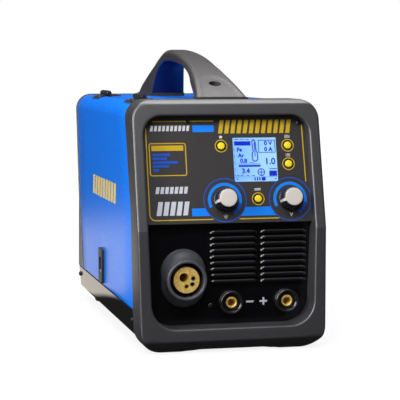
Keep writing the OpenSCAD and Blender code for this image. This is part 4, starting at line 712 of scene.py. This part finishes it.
def build_torch_shroud():
    base = LOWER_Y - 0.15
    rings = [shroud_ring(diameter, share, base - h) for h, diameter, share in (
        (0, 50.5, 0), (0.8, 50.5, 0.01), (3, 50.5, 0.1), (6, 50.4, 0.3), (9, 50.2, 0.55),
        (12, 49.8, 0.8), (15, 49.3, 0.95), (18, 48.8, 1.0), (21, 48.3, 1.0))]
    # the rounded rim, and back inside
    rings += [shroud_ring(48 - 2.6 * (1 - math.cos(a)), 1, base - 22.3 - 1.5 * math.sin(a))
              for a in quarter(5)]
    rings += [shroud_ring(43.2 - 2.2 * math.sin(a), 1, base - 23.8 + 1.1 * (1 - math.cos(a)))
              for a in quarter(4)]
    rings.append(shroud_ring(41, 1, base))
    solid = Solid()
    solid.loft(rings)
    # the collar wears the lighter copy of the bezel's finish: painted light
    solid.piece("torch_collar", "bezel", replaces=("torch_shroud",), angle=50, material="bezel_lit_copy")


def build_sockets():
    bodies, inserts = Solid(), Solid()
    for x, z in SOCKETS:
        bodies.lathe([(14.2, 0), (14.2, 9.2), (13.7, 9.6), (13.7, 10.2), (14.25, 10.6),
                      (14.25, 13.0), (14.0, 13.8), (13.5, 14.4), (12.8, 14.8), (12.2, 14.9),
                      (11.8, 14.7), (11.5, 14.1), (11.4, 12.6), (10.9, 12.1), (7.4, 12.1),
                      (7.0, 11.8), (6.8, 11.2), (6.75, 0)], x, z, 72)
        inserts.lathe([(6.7, 0), (6.7, 11.9), (6.5, 12.4), (6.1, 12.6), (5.5, 12.6), (5.0, 12.3),
                       (4.75, 11.6), (4.6, 10.8), (4.6, -8), (0, -8)], x, z, 60)
        # the key that the plug locks on
        inserts.prism([(x - 1.2, z + 4.2), (x + 1.2, z + 4.2), (x + 1.2, z + 6.0),
                       (x - 1.2, z + 6.0)], 8.0, 12.62)
    bodies.piece("socket_shells", "socket_plastic", where=LOWER, replaces=("socket_bodies",),
                 angle=40)
    inserts.piece("socket_brass", "brass", where=LOWER, replaces=("socket_inserts",), angle=40)


def build_sleeves():
    """The two sleeves round the torch socket's pin contacts."""
    sleeves = Solid()
    for dx, dz in ((7.7, 2.1), (6.7, -4.9)):
        x, z = TORCH[0] + dx, TORCH[1] + dz
        sleeves.band(circle(x, z, 2.7, 24), circle(x, z, 1.75, 24), 19.2, 19.75)
    sleeves.piece("contact_sleeves", "steel", where=LOWER, angle=40)


build_torch_shroud()
build_sockets()
softened("torch_body", 0.45)
build_sleeves()


# ------------------------------------------------------------------ knobs and buttons
KNOBS = (("left", -4.6), ("right", 76.0))
KNOB_V = 37.8  # height of the knobs' axes on the panel
POINTER = math.radians(196)


def grip_ring(u, r, z, depth=0.0, ribs=24, per=8):
    """A ring of the knob's fluted grip, plain under the pointer."""
    out = []
    for i in range(ribs * per):
        a = 2 * math.pi * i / (ribs * per)
        groove = math.exp(-((i % per / per - 0.5) / 0.2) ** 2)
        near = abs((a - POINTER + math.pi) % (2 * math.pi) - math.pi)
        rr = r - depth * groove * (0.0 if near < 0.14 else 1.0)
        out.append((u + rr * math.cos(a), KNOB_V + rr * math.sin(a), z))
    return out


def build_knob(side, u):
    body, cap = Solid(), Solid()
    body.loft([grip_ring(u, *row) for row in (
        (12, 0.9), (14.1, 0.95), (14.5, 1.4), (14.5, 3.4), (14.2, 3.9), (13.75, 4.1),
        (13.7, 4.4, 0.2), (13.65, 5.2, 1.0), (13.2, 11, 1.0), (12.8, 15.0, 1.0),
        (12.5, 16.0, 0.9), (12.0, 16.8, 0.5), (11.2, 17.25, 0.1), (10.75, 17.3),
        (10.72, 16.9), (4, 16.9))], last=True)
    body.piece(side + "_dial_grip", "knob_black", side + "_dial", PANEL, 50, (side + "_knob",))
    cap.lathe([(10.65, 17.0), (10.65, 17.9), (10.5, 18.25), (10.15, 18.45), (8.5, 18.55),
               (5, 18.58), (0, 18.6)], u, KNOB_V, 72)
    c, s = math.cos(POINTER), math.sin(POINTER)

    def spot(r, w, z):
        return (u + r * c - w * s, KNOB_V + r * s + w * c, z)

    # the pointer: a bar from the cap over the grip's shoulder and down to the skirt
    path = [(9.6, 18.5, 1.9), (12.2, 18.3, 1.75), (13.5, 17.3, 1.6), (13.95, 15.6, 1.5),
            (14.05, 10.0, 1.45), (14.15, 4.4, 1.4)]
    inside = [(9.6, 17.2), (11.9, 17.2), (12.4, 16.6), (12.6, 15.4), (12.8, 10.0), (13.0, 4.4)]
    cap.loft([[spot(r, -w, z), spot(r, w, z), spot(ri, w, zi), spot(ri, -w, zi)]
              for (r, z, w), (ri, zi) in zip(path, inside)], True, True)
    cap.piece(side + "_dial_cap", "knob_cap", side + "_dial", PANEL, 40, (side + "_knob_cap",))


for side, u in KNOBS:
    build_knob(side, u)

BUTTONS = (("home", -5.6, 103.3), ("setup", 77, 103.3), ("program", 76.8, 80.6),
           ("material", 36.3, 38.6))
for key, u, v in BUTTONS:
    dome = Solid()
    dome.lathe([(0, -4.2), (5.9, -4.2), (5.9, -2.4), (4.3, -2.4), (4.3, 0.9), (4.2, 1.25),
                (3.9, 1.5), (3.3, 1.65), (2.2, 1.75), (0, 1.8)], u, v, 48)
    dome.piece(key + "_cap", "yellow_key", key + "_key", PANEL, 40, (key + "_button",))


# ------------------------------------------------------------------ printing on the panels
INK = (-0.02, 0.07)  # a print reaches this far into and over its panel
RING_R, ARC_R = 26.5, (17.2, 20.9)  # the dials' outer ring and their scale
LINE, THIN = 1.3, 0.6


def ring_band(solid, u, v, r0, r1, a0=0.0, a1=360.0, n=64):
    """A printed ring, or an arc of it from a0 to a1 degrees."""
    if a1 - a0 == 360:
        solid.band(circle(u, v, r1, n), circle(u, v, r0, n), *INK)
    else:
        a0, a1 = math.radians(a0), math.radians(a1)
        solid.prism(arc(u, v, r1, a0, a1, n) + arc(u, v, r0, a1, a0, n), *INK)


def slab(solid, u0, v0, u1, v1, slant=0.0, z=INK):
    solid.prism([(u0, v0), (u1, v0), (u1 + slant, v1), (u0 + slant, v1)], *z)


def bar_row(solid, count, u, pitch, width, v0, v1, slant, z=INK):
    """A plain row of slanted bars, where the photograph has words."""
    for i in range(count):
        slab(solid, u + i * pitch, v0, u + i * pitch + width, v1, slant, z)


def ring_side(u, side, v0, v1, steps=8):
    """Points on one side of a dial's outer ring, from one height to another."""
    heights = [lerp(v0, v1, i / steps) for i in range(steps + 1)]
    return [(u + side * math.sqrt(RING_R ** 2 - (v - KNOB_V) ** 2), v) for v in heights]


def build_print():
    gold, blue, deep, white, silver, black = (Solid() for _ in range(6))
    left_u, right_u = KNOBS[0][1], KNOBS[1][1]
    # frame lines
    corner = arc(-89.5, 22, 7, math.pi, 1.5 * math.pi, 10)[1:]
    for points in ([(-13.5, 133.8), (-88, 133.8)],
                   [(-96.5, 126), (-96.5, 23)] + corner + [(-20, 15)],
                   [(12, 15), (61, 15)], [(97, 58.5), (96.2, 129)]):
        gold.stroke(points, LINE, *INK)
    # bars across the head of the panel and beside the dials
    bar_row(gold, 12, -8.5, 7.6, 5.0, 118.5, 135.0, 3.0)
    bar_row(white, 10, -91.5, 4.9, 3.2, 122.0, 128.6, 1.2)
    bar_row(silver, 7, -88.5, 5.7, 4.0, 46.6, 54.8, 1.5)
    bar_row(silver, 5, -88.5, 8.0, 5.7, 20.5, 37.0, 3.0)
    # the small box: its frame, header bar and rows
    gold.stroke(rounded_box(43.8, 38.6, 2.2, -71.3, 87.8, 4), 1.2, *INK, closed=True)
    slab(gold, -90.6, 98.2, -52.0, 104.6)
    for i, w in enumerate((21, 17, 30, 19, 7)):
        v = 93.5 - i * 4.6
        slab(deep, -89.5, v - 1.4, -89.5 + w, v + 1.4)
    # blue bars; the lower ones end on the dials' outer rings
    slab(blue, -39.5, 120.6, -13.5, 128.8)
    blue.prism([(-45.5, 28.5), (-45.5, 19.2)] + ring_side(left_u, -1, 19.2, 28.5), *INK)
    blue.prism(ring_side(left_u, 1, 29, 18.5) + ring_side(right_u, -1, 18.5, 29), *INK)
    for u in (left_u, right_u):
        ring_band(deep, u, KNOB_V, RING_R - 1.1, RING_R)
        ring_band(blue, u, KNOB_V, *ARC_R, -12, 206, 80)
        ring_band(deep, u, KNOB_V, *ARC_R, -58, -12, 24)
    for _, u, v in BUTTONS:
        ring_band(gold, u, v, 6.7, 7.8)
        ring_band(black, u, v, 4.6, 5.9)
    # small pictograms above the buttons: a house, sliders, a list and a stack
    white.prism([(-7.4, 112.9), (-3.8, 112.9), (-3.8, 114.5), (-3.2, 114.5), (-5.6, 116.2),
                 (-8, 114.5), (-7.4, 114.5)], *INK)
    for k in (-1, 0, 1):
        row = 114.2 + k * 1.3
        slab(white, 73.6, row - 0.25, 80.4, row + 0.25)
        slab(white, 75.2 + k * 1.5, row - 0.6, 76.2 + k * 1.5, row + 0.6)
        row = 91.4 + k * 1.3
        slab(white, 73.9, row - 0.35, 74.7, row + 0.35)
        slab(white, 75.4, row - 0.3, 79.6, row + 0.3)
    for k in (0, 1):
        row = 50.2 + k * 1.6
        slab(white, 31.8, row - 1.3, 39.6, row - 0.4, 0.9)
    # wire and voltage symbols under the dials
    v = 17.6
    ring_band(white, left_u, v - 0.3, 1.0, 1.55, n=24)
    for a, b, c, d in ((0, 0.9, 0, 3.2), (-2.6, 1.6, -1.2, 0.4), (2.6, 1.6, 1.2, 0.4)):
        white.stroke([(left_u + a, v + b), (left_u + c, v + d)], THIN, *INK)
    white.text("V", 6.2, right_u + 0.4, 18.6, *INK, bold=0.12)
    for solid, slot in ((gold, "print_gold"), (blue, "print_blue"), (deep, "print_deep_blue"),
                        (white, "print_white"), (silver, "print_silver"), (black, "black_print_and_hole_shade")):
        solid.piece("panel_" + slot, "panel_film", "case", PANEL, 30, (), slot, weld=0)
    # polarity marks
    marks = Solid()
    for sides in ((22.4, 53.9, 31.6, 56.1), (39.4, 53.9, 48.6, 56.1),
                  (42.9, 50.4, 45.1, 53.9), (42.9, 56.1, 45.1, 59.6)):
        slab(marks, *sides)
    marks.piece("polarity_marks", "gloss_black", "case", LOWER, 30, (), "print_silver", weld=0)


def build_display():
    """Generic figures of the display, in millimetres from the window's middle."""
    ink, dark = Solid(), Solid()
    u0, v0 = 35.7, 86.4
    z = (-0.16, -0.08)

    def bar(a, b, c, d):
        slab(ink, u0 + a, v0 + b, u0 + c, v0 + d, z=z)

    def line(points, w=THIN, closed=False):
        ink.stroke([(u0 + a, v0 + b) for a, b in points], w, *z, closed=closed)

    for a, b, c, d in ((-25, 17.2, -4.8, 22.4), (-21, -8.8, 6, -6.6), (16.5, -20.4, 26, -13.8),
                       (-2.5, -25.6, -0.9, -21.8), (0.5, -25.6, 2.1, -21.8),
                       (3.5, -25.6, 5.1, -21.8), (6.6, -25.8, 11.4, -21.6),
                       (-24.4, -24.2, -22.4, -23), (23, -24.2, 25, -23)):
        bar(a, b, c, d)
    # the frame of the two readings, and a torch in outline
    line([(5, 23.4), (25.4, 23.4), (25.4, 8.6), (5, 8.6)], 0.8, True)
    line([(-3, 22), (-1, 24.4), (1, 22), (1.8, 10), (3.2, 8), (3.2, 0), (1.2, -2), (-1.7, -2),
          (-3.2, 0), (-3.2, 8), (-2, 10)], 1.2, True)
    line([(0, 21), (0.2, 4)], 1.0)
    for a0, a1, b, w in ((-24, -19.5, 24.6, THIN), (-17.5, -13, 24.6, THIN),
                         (-11, -6.5, 24.6, THIN), (-21, 6, -5.4, THIN), (-7, -2, -3.6, THIN),
                         (2.4, 10.6, -15.5, 0.9), (17, 26, -11.6, 0.9), (-24, -20.6, -19.4, 0.8),
                         (-19, -15.6, -19.4, 0.8), (-12, -8.6, -19.4, 0.8),
                         (-5, -1.6, -19.4, 0.8), (-25, 26, -21.2, 0.35)):
        line([(a0, b), (a1, b)], w)
    for k in range(5):
        line([(-25.5, 14 - k * 8), (-25.5, 10 - k * 8)], 0.5)
    # a crossed circle
    line([(6.5, -19.6), (6.5, -11.4)], 0.9)
    line(circle(6.5, -15.5, 4.1, 28), 1.0, True)
    for words, size, a, b in (("0 V", 7.0, 17, 19.6), ("0 A", 7.0, 17, 12.2),
                              ("Fe", 6.6, -19, 12.0), ("Ar", 6.6, -17.5, 5.0),
                              ("0.8", 7.0, -14.5, -1.6), ("1.0", 11.0, 18.2, -2.6),
                              ("3.4", 8.0, -12.5, -14.0)):
        ink.text(words, size, u0 + a, v0 + b, *z, bold=0.28)
    ink.piece("display_figures", "display", "case", PANEL, 30, (), "print_lcd", weld=0)
    # dark shadow gap round the window
    dark.band(rounded_box(55.4, 55.2, 1.4, u0, v0), rounded_box(53.9, 53.7, 0.9, u0, v0),
              -0.05, 0.12)
    dark.piece("display_surround", "panel_film", "case", PANEL, 30, (), "panel_film", weld=0)


build_print()
build_display()


# ------------------------------------------------------------------ handle
BASE_Z, GRIP_TOP, GRIP_HALF, FOOT_HALF = 299.5, 359.0, 17.5, 31.7
FRONT_STEPS, REAR_STEPS = 40, 30
OUTER_FRONT = [(58.5, 300.7), (117, 329.5), (207, 356), (302, 359)]
OUTER_REAR = [(313, 359), (345, 358), (390, 337.5), (422, 314.5)]
INNER_FRONT = [(98, 301.5), (128, 320), (165, 340.5), (292, 344)]
INNER_REAR = [(310, 343.5), (352, 344), (362, 326.5), (376, 299.5)]
GRIP_PLAN = [(57, 31.7), (98, 25.7), (346, 18.5), (376, 23.7), (430, 31.7)]  # (y, half width)


def handle_half(z):
    """Seen from the front, the handle widens from the grip down to its feet."""
    waist = GRIP_TOP - GRIP_HALF
    share = max(0.0, (waist - z) / (waist - BASE_Z))
    return GRIP_HALF + (FOOT_HALF - GRIP_HALF) * share ** 1.18


def plan_half(y):
    """From above, the feet narrow towards the hand gap."""
    for (ya, wa), (yb, wb) in zip(GRIP_PLAN, GRIP_PLAN[1:]):
        if y <= yb:
            return lerp(wa, wb, max(0.0, (y - ya) / (yb - ya)))
    return GRIP_PLAN[-1][1]


def half_at(p):
    return min(handle_half(p.y), plan_half(p.x))


def handle_sections():
    """(outer point, inner point, corner radius outside, corner radius inside) in y and z."""
    out = [((57, BASE_Z), (98, BASE_Z), 4.0, 2.0), ((57.3, BASE_Z + 0.7), (98, 300.4), 4.0, 2.2)]
    for outer, inner, steps, big, small in (
            (OUTER_FRONT, INNER_FRONT, FRONT_STEPS, (4.2, 11), (2.4, 3.6)),
            (OUTER_REAR, INNER_REAR, REAR_STEPS, (11, 5), (3.6, 2.2))):
        for i in range(steps + 1):
            t = i / steps
            out.append((bezier(outer, t), bezier(inner, t), lerp(*big, smooth_step(0, 1, t)),
                        lerp(*small, t)))
    heel = (376, BASE_Z)
    return out + [(p, heel, 5.0, 2.0) for p in ((427.5, 309.5), (429.6, 305.0), (430, BASE_Z))]


def build_handle():
    rings = []
    for outer, inner, r_out, r_in in handle_sections():
        o, g = Vector(outer), Vector(inner)
        length = (o - g).length
        up = (o - g) / length
        w_out, w_in = half_at(o), half_at(g)
        r_out = min(r_out, length * 0.6, w_out - 0.5)
        r_in = min(r_in, length - r_out - 0.1)
        shape = filleted([(-w_in, 0), (w_in, 0), (w_out, length), (-w_out, length)],
                         [r_in, r_in, r_out, r_out], [7] * 4, [4, 4, 22, 4])
        ring = []
        for x, h in shape:
            p = g + up * h
            # the flat round the front screw lies a little lower, inside an arch
            if h > length - 0.01 - r_out * 0.3 and 57 < p.x < 135:
                e = math.hypot(x / 24.0, (p.x - 52) / 66.0)
                p = p - up * 0.9 * (1 - smooth_step(0.9, 1.0, e))
            ring.append((x, p.x, p.y))
        rings.append(ring)
    solid, recesses = Solid(), Solid()
    solid.loft(rings, True, True)
    obj = solid.piece("handle_cover", "handle_grey", replaces=("handle_shell",), angle=42)
    for y in (93.5, 404):
        recesses.prism(circle(0, y, 7.5, 40), 308.5, 372)
    # the recesses' walls are finished near black: painted shade in the holes
    cut(obj, recesses, "black_print_and_hole_shade")


def build_liner():
    curve = [bezier(INNER_FRONT, i / FRONT_STEPS) for i in range(FRONT_STEPS + 1)]
    curve += [bezier(INNER_REAR, i / REAR_STEPS) for i in range(REAR_STEPS + 1)]
    curve = [p for p in curve if p.x > 119 or p.y > 330]
    rings = []
    for i, p in enumerate(curve):
        a, b = curve[max(0, i - 1)], curve[min(len(curve) - 1, i + 1)]
        along = (b - a).normalized()
        inward = Vector((along.y, -along.x))
        w = half_at(p) - 1.7
        top, mid, low = p + inward * 0.45, p + inward * 0.1, p - inward * 1.6
        ring = [(-w, *low), (-w, *mid), (-w + 0.5, *top), (0, *top), (w - 0.5, *top), (w, *mid),
                (w, *low)]
        rings.append([(x, y, max(z, BASE_Z + 0.1)) for x, y, z in ring])
    solid = Solid()
    solid.loft(rings, True, True)
    solid.piece("grip_liner", "blue_plastic", replaces=("handle_liner",), angle=50)


build_handle()
build_liner()


# ------------------------------------------------------------------ door
HINGE_X, BEND_R, SEAM = -87.0, 21.5, 3.0
LATCH_Y, LATCH_HALF = 269.0, 10.5
SOFTENED = (("latch_housing", 0.5), ("latch_slide", 0.3), ("hinge_leaves", 0.3),
            ("door_leaves", 0.3), ("hinge_pins", 0.4), ("base_tray", 0.4),
            ("case_screws", 0.25), ("right_cover", 0.35), ("rear_bezel", 1.2),
            ("rubber_feet", 0.8), ("handle_gasket", 0.4), ("power_rocker", 0.6),
            ("switch_housing", 0.5), ("cable_gland", 0.5), ("gas_inlet", 0.3),
            ("spool_nut", 0.8), ("pressure_arm", 0.8), ("tension_knob", 0.4))
OTHER_FINISH = {"base_tray": "tray_black", "hinge_pins": "hinge_steel"}


def door_profile():
    """(x, z) of the door's outer face from its lower edge to the hinge."""
    heights = (DOOR_LOW, 51.5, 92.5, 120, KINK, 158, 200, 240)
    points = [(-SIDE_X, z) for z in heights]
    points += arc(-SIDE_X + BEND_R, TOP_Z - BEND_R, BEND_R, math.pi, math.pi / 2, 20)
    return points + [(HINGE_X - SEAM, TOP_Z)]


def build_door():
    gap0, gap1 = LATCH_Y - LATCH_HALF, LATCH_Y + LATCH_HALF
    rows = []
    for x, z in door_profile():
        y0, y1 = back_y(z) + DOOR_GAP, rear_line(z) - DOOR_GAP
        ys = [lerp(y0, gap0, t) for t in (0, 0.35, 0.7, 1)]
        ys += [lerp(gap1, y1, t) for t in (0, 0.35, 0.7, 1)]
        rows.append([(x, y, z) for y in ys])
    solid = Solid()
    solid.grid(rows)
    # the face with the latch's opening goes: fourth of the second row
    opening = len(rows[0]) + 3
    solid.faces = [f for f in solid.faces if f[0] != opening]
    obj = solid.piece("door_skin", "blue_paint", "door", replaces=("side_door",), angle=30)
    modifier(obj, "SOLIDIFY", thickness=SHEET * MM, offset=-1.0)
    bevelled(obj, 0.35)
    bars = Solid()
    # the door's bars take the brighter copy of the gold print: painted light
    bar_row(bars, 9, -345, 20.5, 13.5, 163, 189, 5.0, (-0.02, 0.06))
    bars.piece("door_print_gold", "blue_paint", "door", DOOR, 30, (), "print_gold_brightened", weld=0)
    # folded lower edge, open at the latch
    fold, gap = Solid(), Solid()
    fold.box((-SIDE_X + 0.6, 53, DOOR_LOW),
             (-SIDE_X + 9, rear_line(DOOR_LOW) - 12, DOOR_LOW + 1.4))
    gap.box((-SIDE_X + 0.1, gap0 - 3, DOOR_LOW - 1), (-SIDE_X + 20, gap1 + 3, DOOR_LOW + 3))
    cut(fold.piece("door_fold", "blue_paint", "door"), gap)


build_door()
for node, width in SOFTENED:
    made = softened(node, width)
    if node in OTHER_FINISH:
        made.data.materials[0] = MATS[OTHER_FINISH[node]]

# finishes of the frame's own nodes
for name, node in nodes.items():
    node.data.materials.clear()
    node.data.materials.append(MATS[slot_of[name]])


# ------------------------------------------------------------------ camera, floor and light
CAMERA_AT = (-0.4433, -1.9724, 0.3382)
CAMERA_YAW, CAMERA_PITCH = math.radians(13.12), math.radians(-5.06)
FOCAL, PICTURE = 1524, 400  # the photograph's focal length and width in pixels
SENSOR = 36

# the floor: its tones for bounced light and for the camera, and its share of plain white
FLOOR_HALF, FLOOR_BOUNCE, FLOOR_TONE = 9, 0.14, 0.73
FLOOR_NEAR, FLOOR_WHITE, FLOOR_FADE = 0.78, 1.1, (0.5, 1.8)
# the floor's glow that only glossy rays see, a painted reflection: its levels by y, from before the
# machine to far behind it
GLOSS_FRONT, GLOSS_MID, GLOSS_BACK, GLOSS_FAR = 0.02, 0.85, 1.05, 0.03
GLOSS_RISE, GLOSS_SWELL, GLOSS_FALL = (0.2, 0.27), (0.4, 0.9), (0.9, 1.7)
PAINTED_REFLECTION_TINT = (1.0, 0.93, 0.83, 1)
# the world in gloss: dark when level, brighter overhead, with one window
WORLD_LEVEL, WORLD_HIGH, WORLD_SOFT, WORLD_SPAN = 0.03, 1.0, 0.40, (0.35, 0.95)
WINDOW, WINDOW_WHITE, WINDOW_EDGE = (-0.80, -0.45, 0.40), 7.0, (0.90, 0.95)
ZENITH_WHITE, ZENITH_EDGE = 3.5, (0.9, 0.97)
# (name, place, target, size, power)
LAMPS = (
    ("top_softbox", (0.25, 0.55, 1.9), (0, 0, 0.2), (1.3, 0.8), 20),
    ("left_softbox", (-1.65, -0.85, 0.85), (0, -0.1, 0.15), (0.4, 1.1), 23),
    ("front_softbox", (-0.42, -1.2, 1.25), (-0.03, -0.1, 0.15), (0.7, 0.6), 15),
)


def switched(tree, share, first, second):
    """One shader that turns into another by a share."""
    shade = add(tree, "MixShader")
    for value, socket in zip((share, first, second), shade.inputs):
        tree.links.new(value, socket)
    return shade.outputs["Shader"]


def build_floor():
    """A pale floor that keeps the object's shadow and fades to white with distance; to glossy rays
    it glows as a painted reflection.
    """
    corners = [(x * FLOOR_HALF, y * FLOOR_HALF, -0.0002)
               for x, y in ((-1, -1), (1, -1), (1, 1), (-1, 1))]
    mesh = bpy.data.meshes.new("floor")
    mesh.from_pydata(corners, [], [(0, 1, 2, 3)])
    placed("floor", mesh)
    tree, bsdf = principled("floor")
    link = tree.links.new
    place = add(tree, "TexCoord").outputs["Object"]
    path = add(tree, "LightPath").outputs
    speck = ramp(tree, noise(tree, place, 3.0, 2.0), (0.3, 0.7), (0.96, 1.0))
    pale = linked(tree, "MULTIPLY", speck, path["Is Camera Ray"])
    link(mixed(tree, (*[FLOOR_BOUNCE] * 3, 1), (*[FLOOR_TONE] * 3, 1), pale),
         bsdf.inputs["Base Color"])
    fill(bsdf, Roughness=0.8, Specular_IOR_Level=0.1)
    reach = add(tree, "VectorMath")
    reach.operation = "LENGTH"
    link(place, reach.inputs[0])
    share = ramp(tree, reach.outputs["Value"], FLOOR_FADE, (FLOOR_NEAR, 1.0))
    seen = linked(tree, "MULTIPLY", share, path["Is Camera Ray"])
    white = add(tree, "Emission", Color=(1, 1, 1, 1), Strength=FLOOR_WHITE)
    plain = switched(tree, seen, bsdf.outputs["BSDF"], white.outputs["Emission"])
    # glossy rays see the floor glow instead, a painted reflection: bright behind the object and
    # dark before it
    split = add(tree, "SeparateXYZ")
    link(place, split.inputs["Vector"])
    level = ramp(tree, split.outputs["Y"], GLOSS_RISE, (GLOSS_FRONT, GLOSS_MID))
    for span, end in ((GLOSS_SWELL, GLOSS_BACK), (GLOSS_FALL, GLOSS_FAR)):
        level = linked(tree, "MULTIPLY", level, ramp(tree, split.outputs["Y"], span, (1.0, end)))
    painted_reflection = add(tree, "Emission", Color=PAINTED_REFLECTION_TINT)
    link(level, painted_reflection.inputs["Strength"])
    last = switched(tree, path["Is Glossy Ray"], plain, painted_reflection.outputs["Emission"])
    link(last, tree.nodes["Material Output"].inputs["Surface"])
    mesh.materials.append(MATS["floor"])


def build_world():
    """White to the camera and through glass; gloss sees it brighter overhead than level."""
    world = bpy.context.scene.world = bpy.data.worlds.new("studio")
    world.use_nodes = True
    tree = world.node_tree
    link = tree.links.new
    back = tree.nodes["Background"]
    path = add(tree, "LightPath").outputs
    place = add(tree, "TexCoord").outputs["Generated"]
    split = add(tree, "SeparateXYZ")
    link(place, split.inputs["Vector"])
    facing = add(tree, "VectorMath")
    facing.operation = "DOT_PRODUCT"
    link(place, facing.inputs[0])
    facing.inputs[1].default_value = Vector(WINDOW).normalized()
    level = ramp(tree, split.outputs["Z"], WORLD_SPAN, (WORLD_LEVEL, WORLD_HIGH))
    window = ramp(tree, facing.outputs["Value"], WINDOW_EDGE, (0.0, WINDOW_WHITE))
    zenith = ramp(tree, split.outputs["Z"], ZENITH_EDGE, (0.0, ZENITH_WHITE))
    level = linked(tree, "MAXIMUM", linked(tree, "MAXIMUM", level, window), zenith)
    gloss = linked(tree, "MULTIPLY", level, path["Is Glossy Ray"])
    clear = linked(tree, "MAXIMUM", path["Is Camera Ray"], path["Is Transmission Ray"])
    other = linked(tree, "MULTIPLY", path["Is Diffuse Ray"], WORLD_SOFT)
    total = linked(tree, "MAXIMUM", linked(tree, "MAXIMUM", clear, gloss), other)
    link(total, back.inputs["Strength"])
    back.inputs["Color"].default_value = (1, 1, 1, 1)


def build_lamp(name, place, target, size, power):
    data = bpy.data.lights.new(name, "AREA")
    data.shape = "RECTANGLE"
    data.size, data.size_y = size
    data.energy = power
    obj = placed(name, data)
    obj.location = place
    obj.rotation_euler = (Vector(target) - Vector(place)).to_track_quat("-Z", "Y").to_euler()
    obj.visible_camera = False


def build_camera():
    """The photograph's view, as fitted to the casing's straight edges."""
    camera = placed("camera", bpy.data.cameras.new("camera"))
    level = math.cos(CAMERA_PITCH)
    look = Vector((math.sin(CAMERA_YAW) * level, math.cos(CAMERA_YAW) * level,
                   math.sin(CAMERA_PITCH)))
    camera.location = CAMERA_AT
    camera.rotation_euler = look.to_track_quat("-Z", "Y").to_euler()
    camera.data.sensor_fit = "HORIZONTAL"
    camera.data.sensor_width = SENSOR
    camera.data.lens = SENSOR * FOCAL / PICTURE
    camera.data.clip_end = 50
    bpy.context.scene.camera = camera


build_camera()
build_floor()
build_world()
for row in LAMPS:
    build_lamp(*row)
bpy.context.scene.view_settings.view_transform = "Standard"
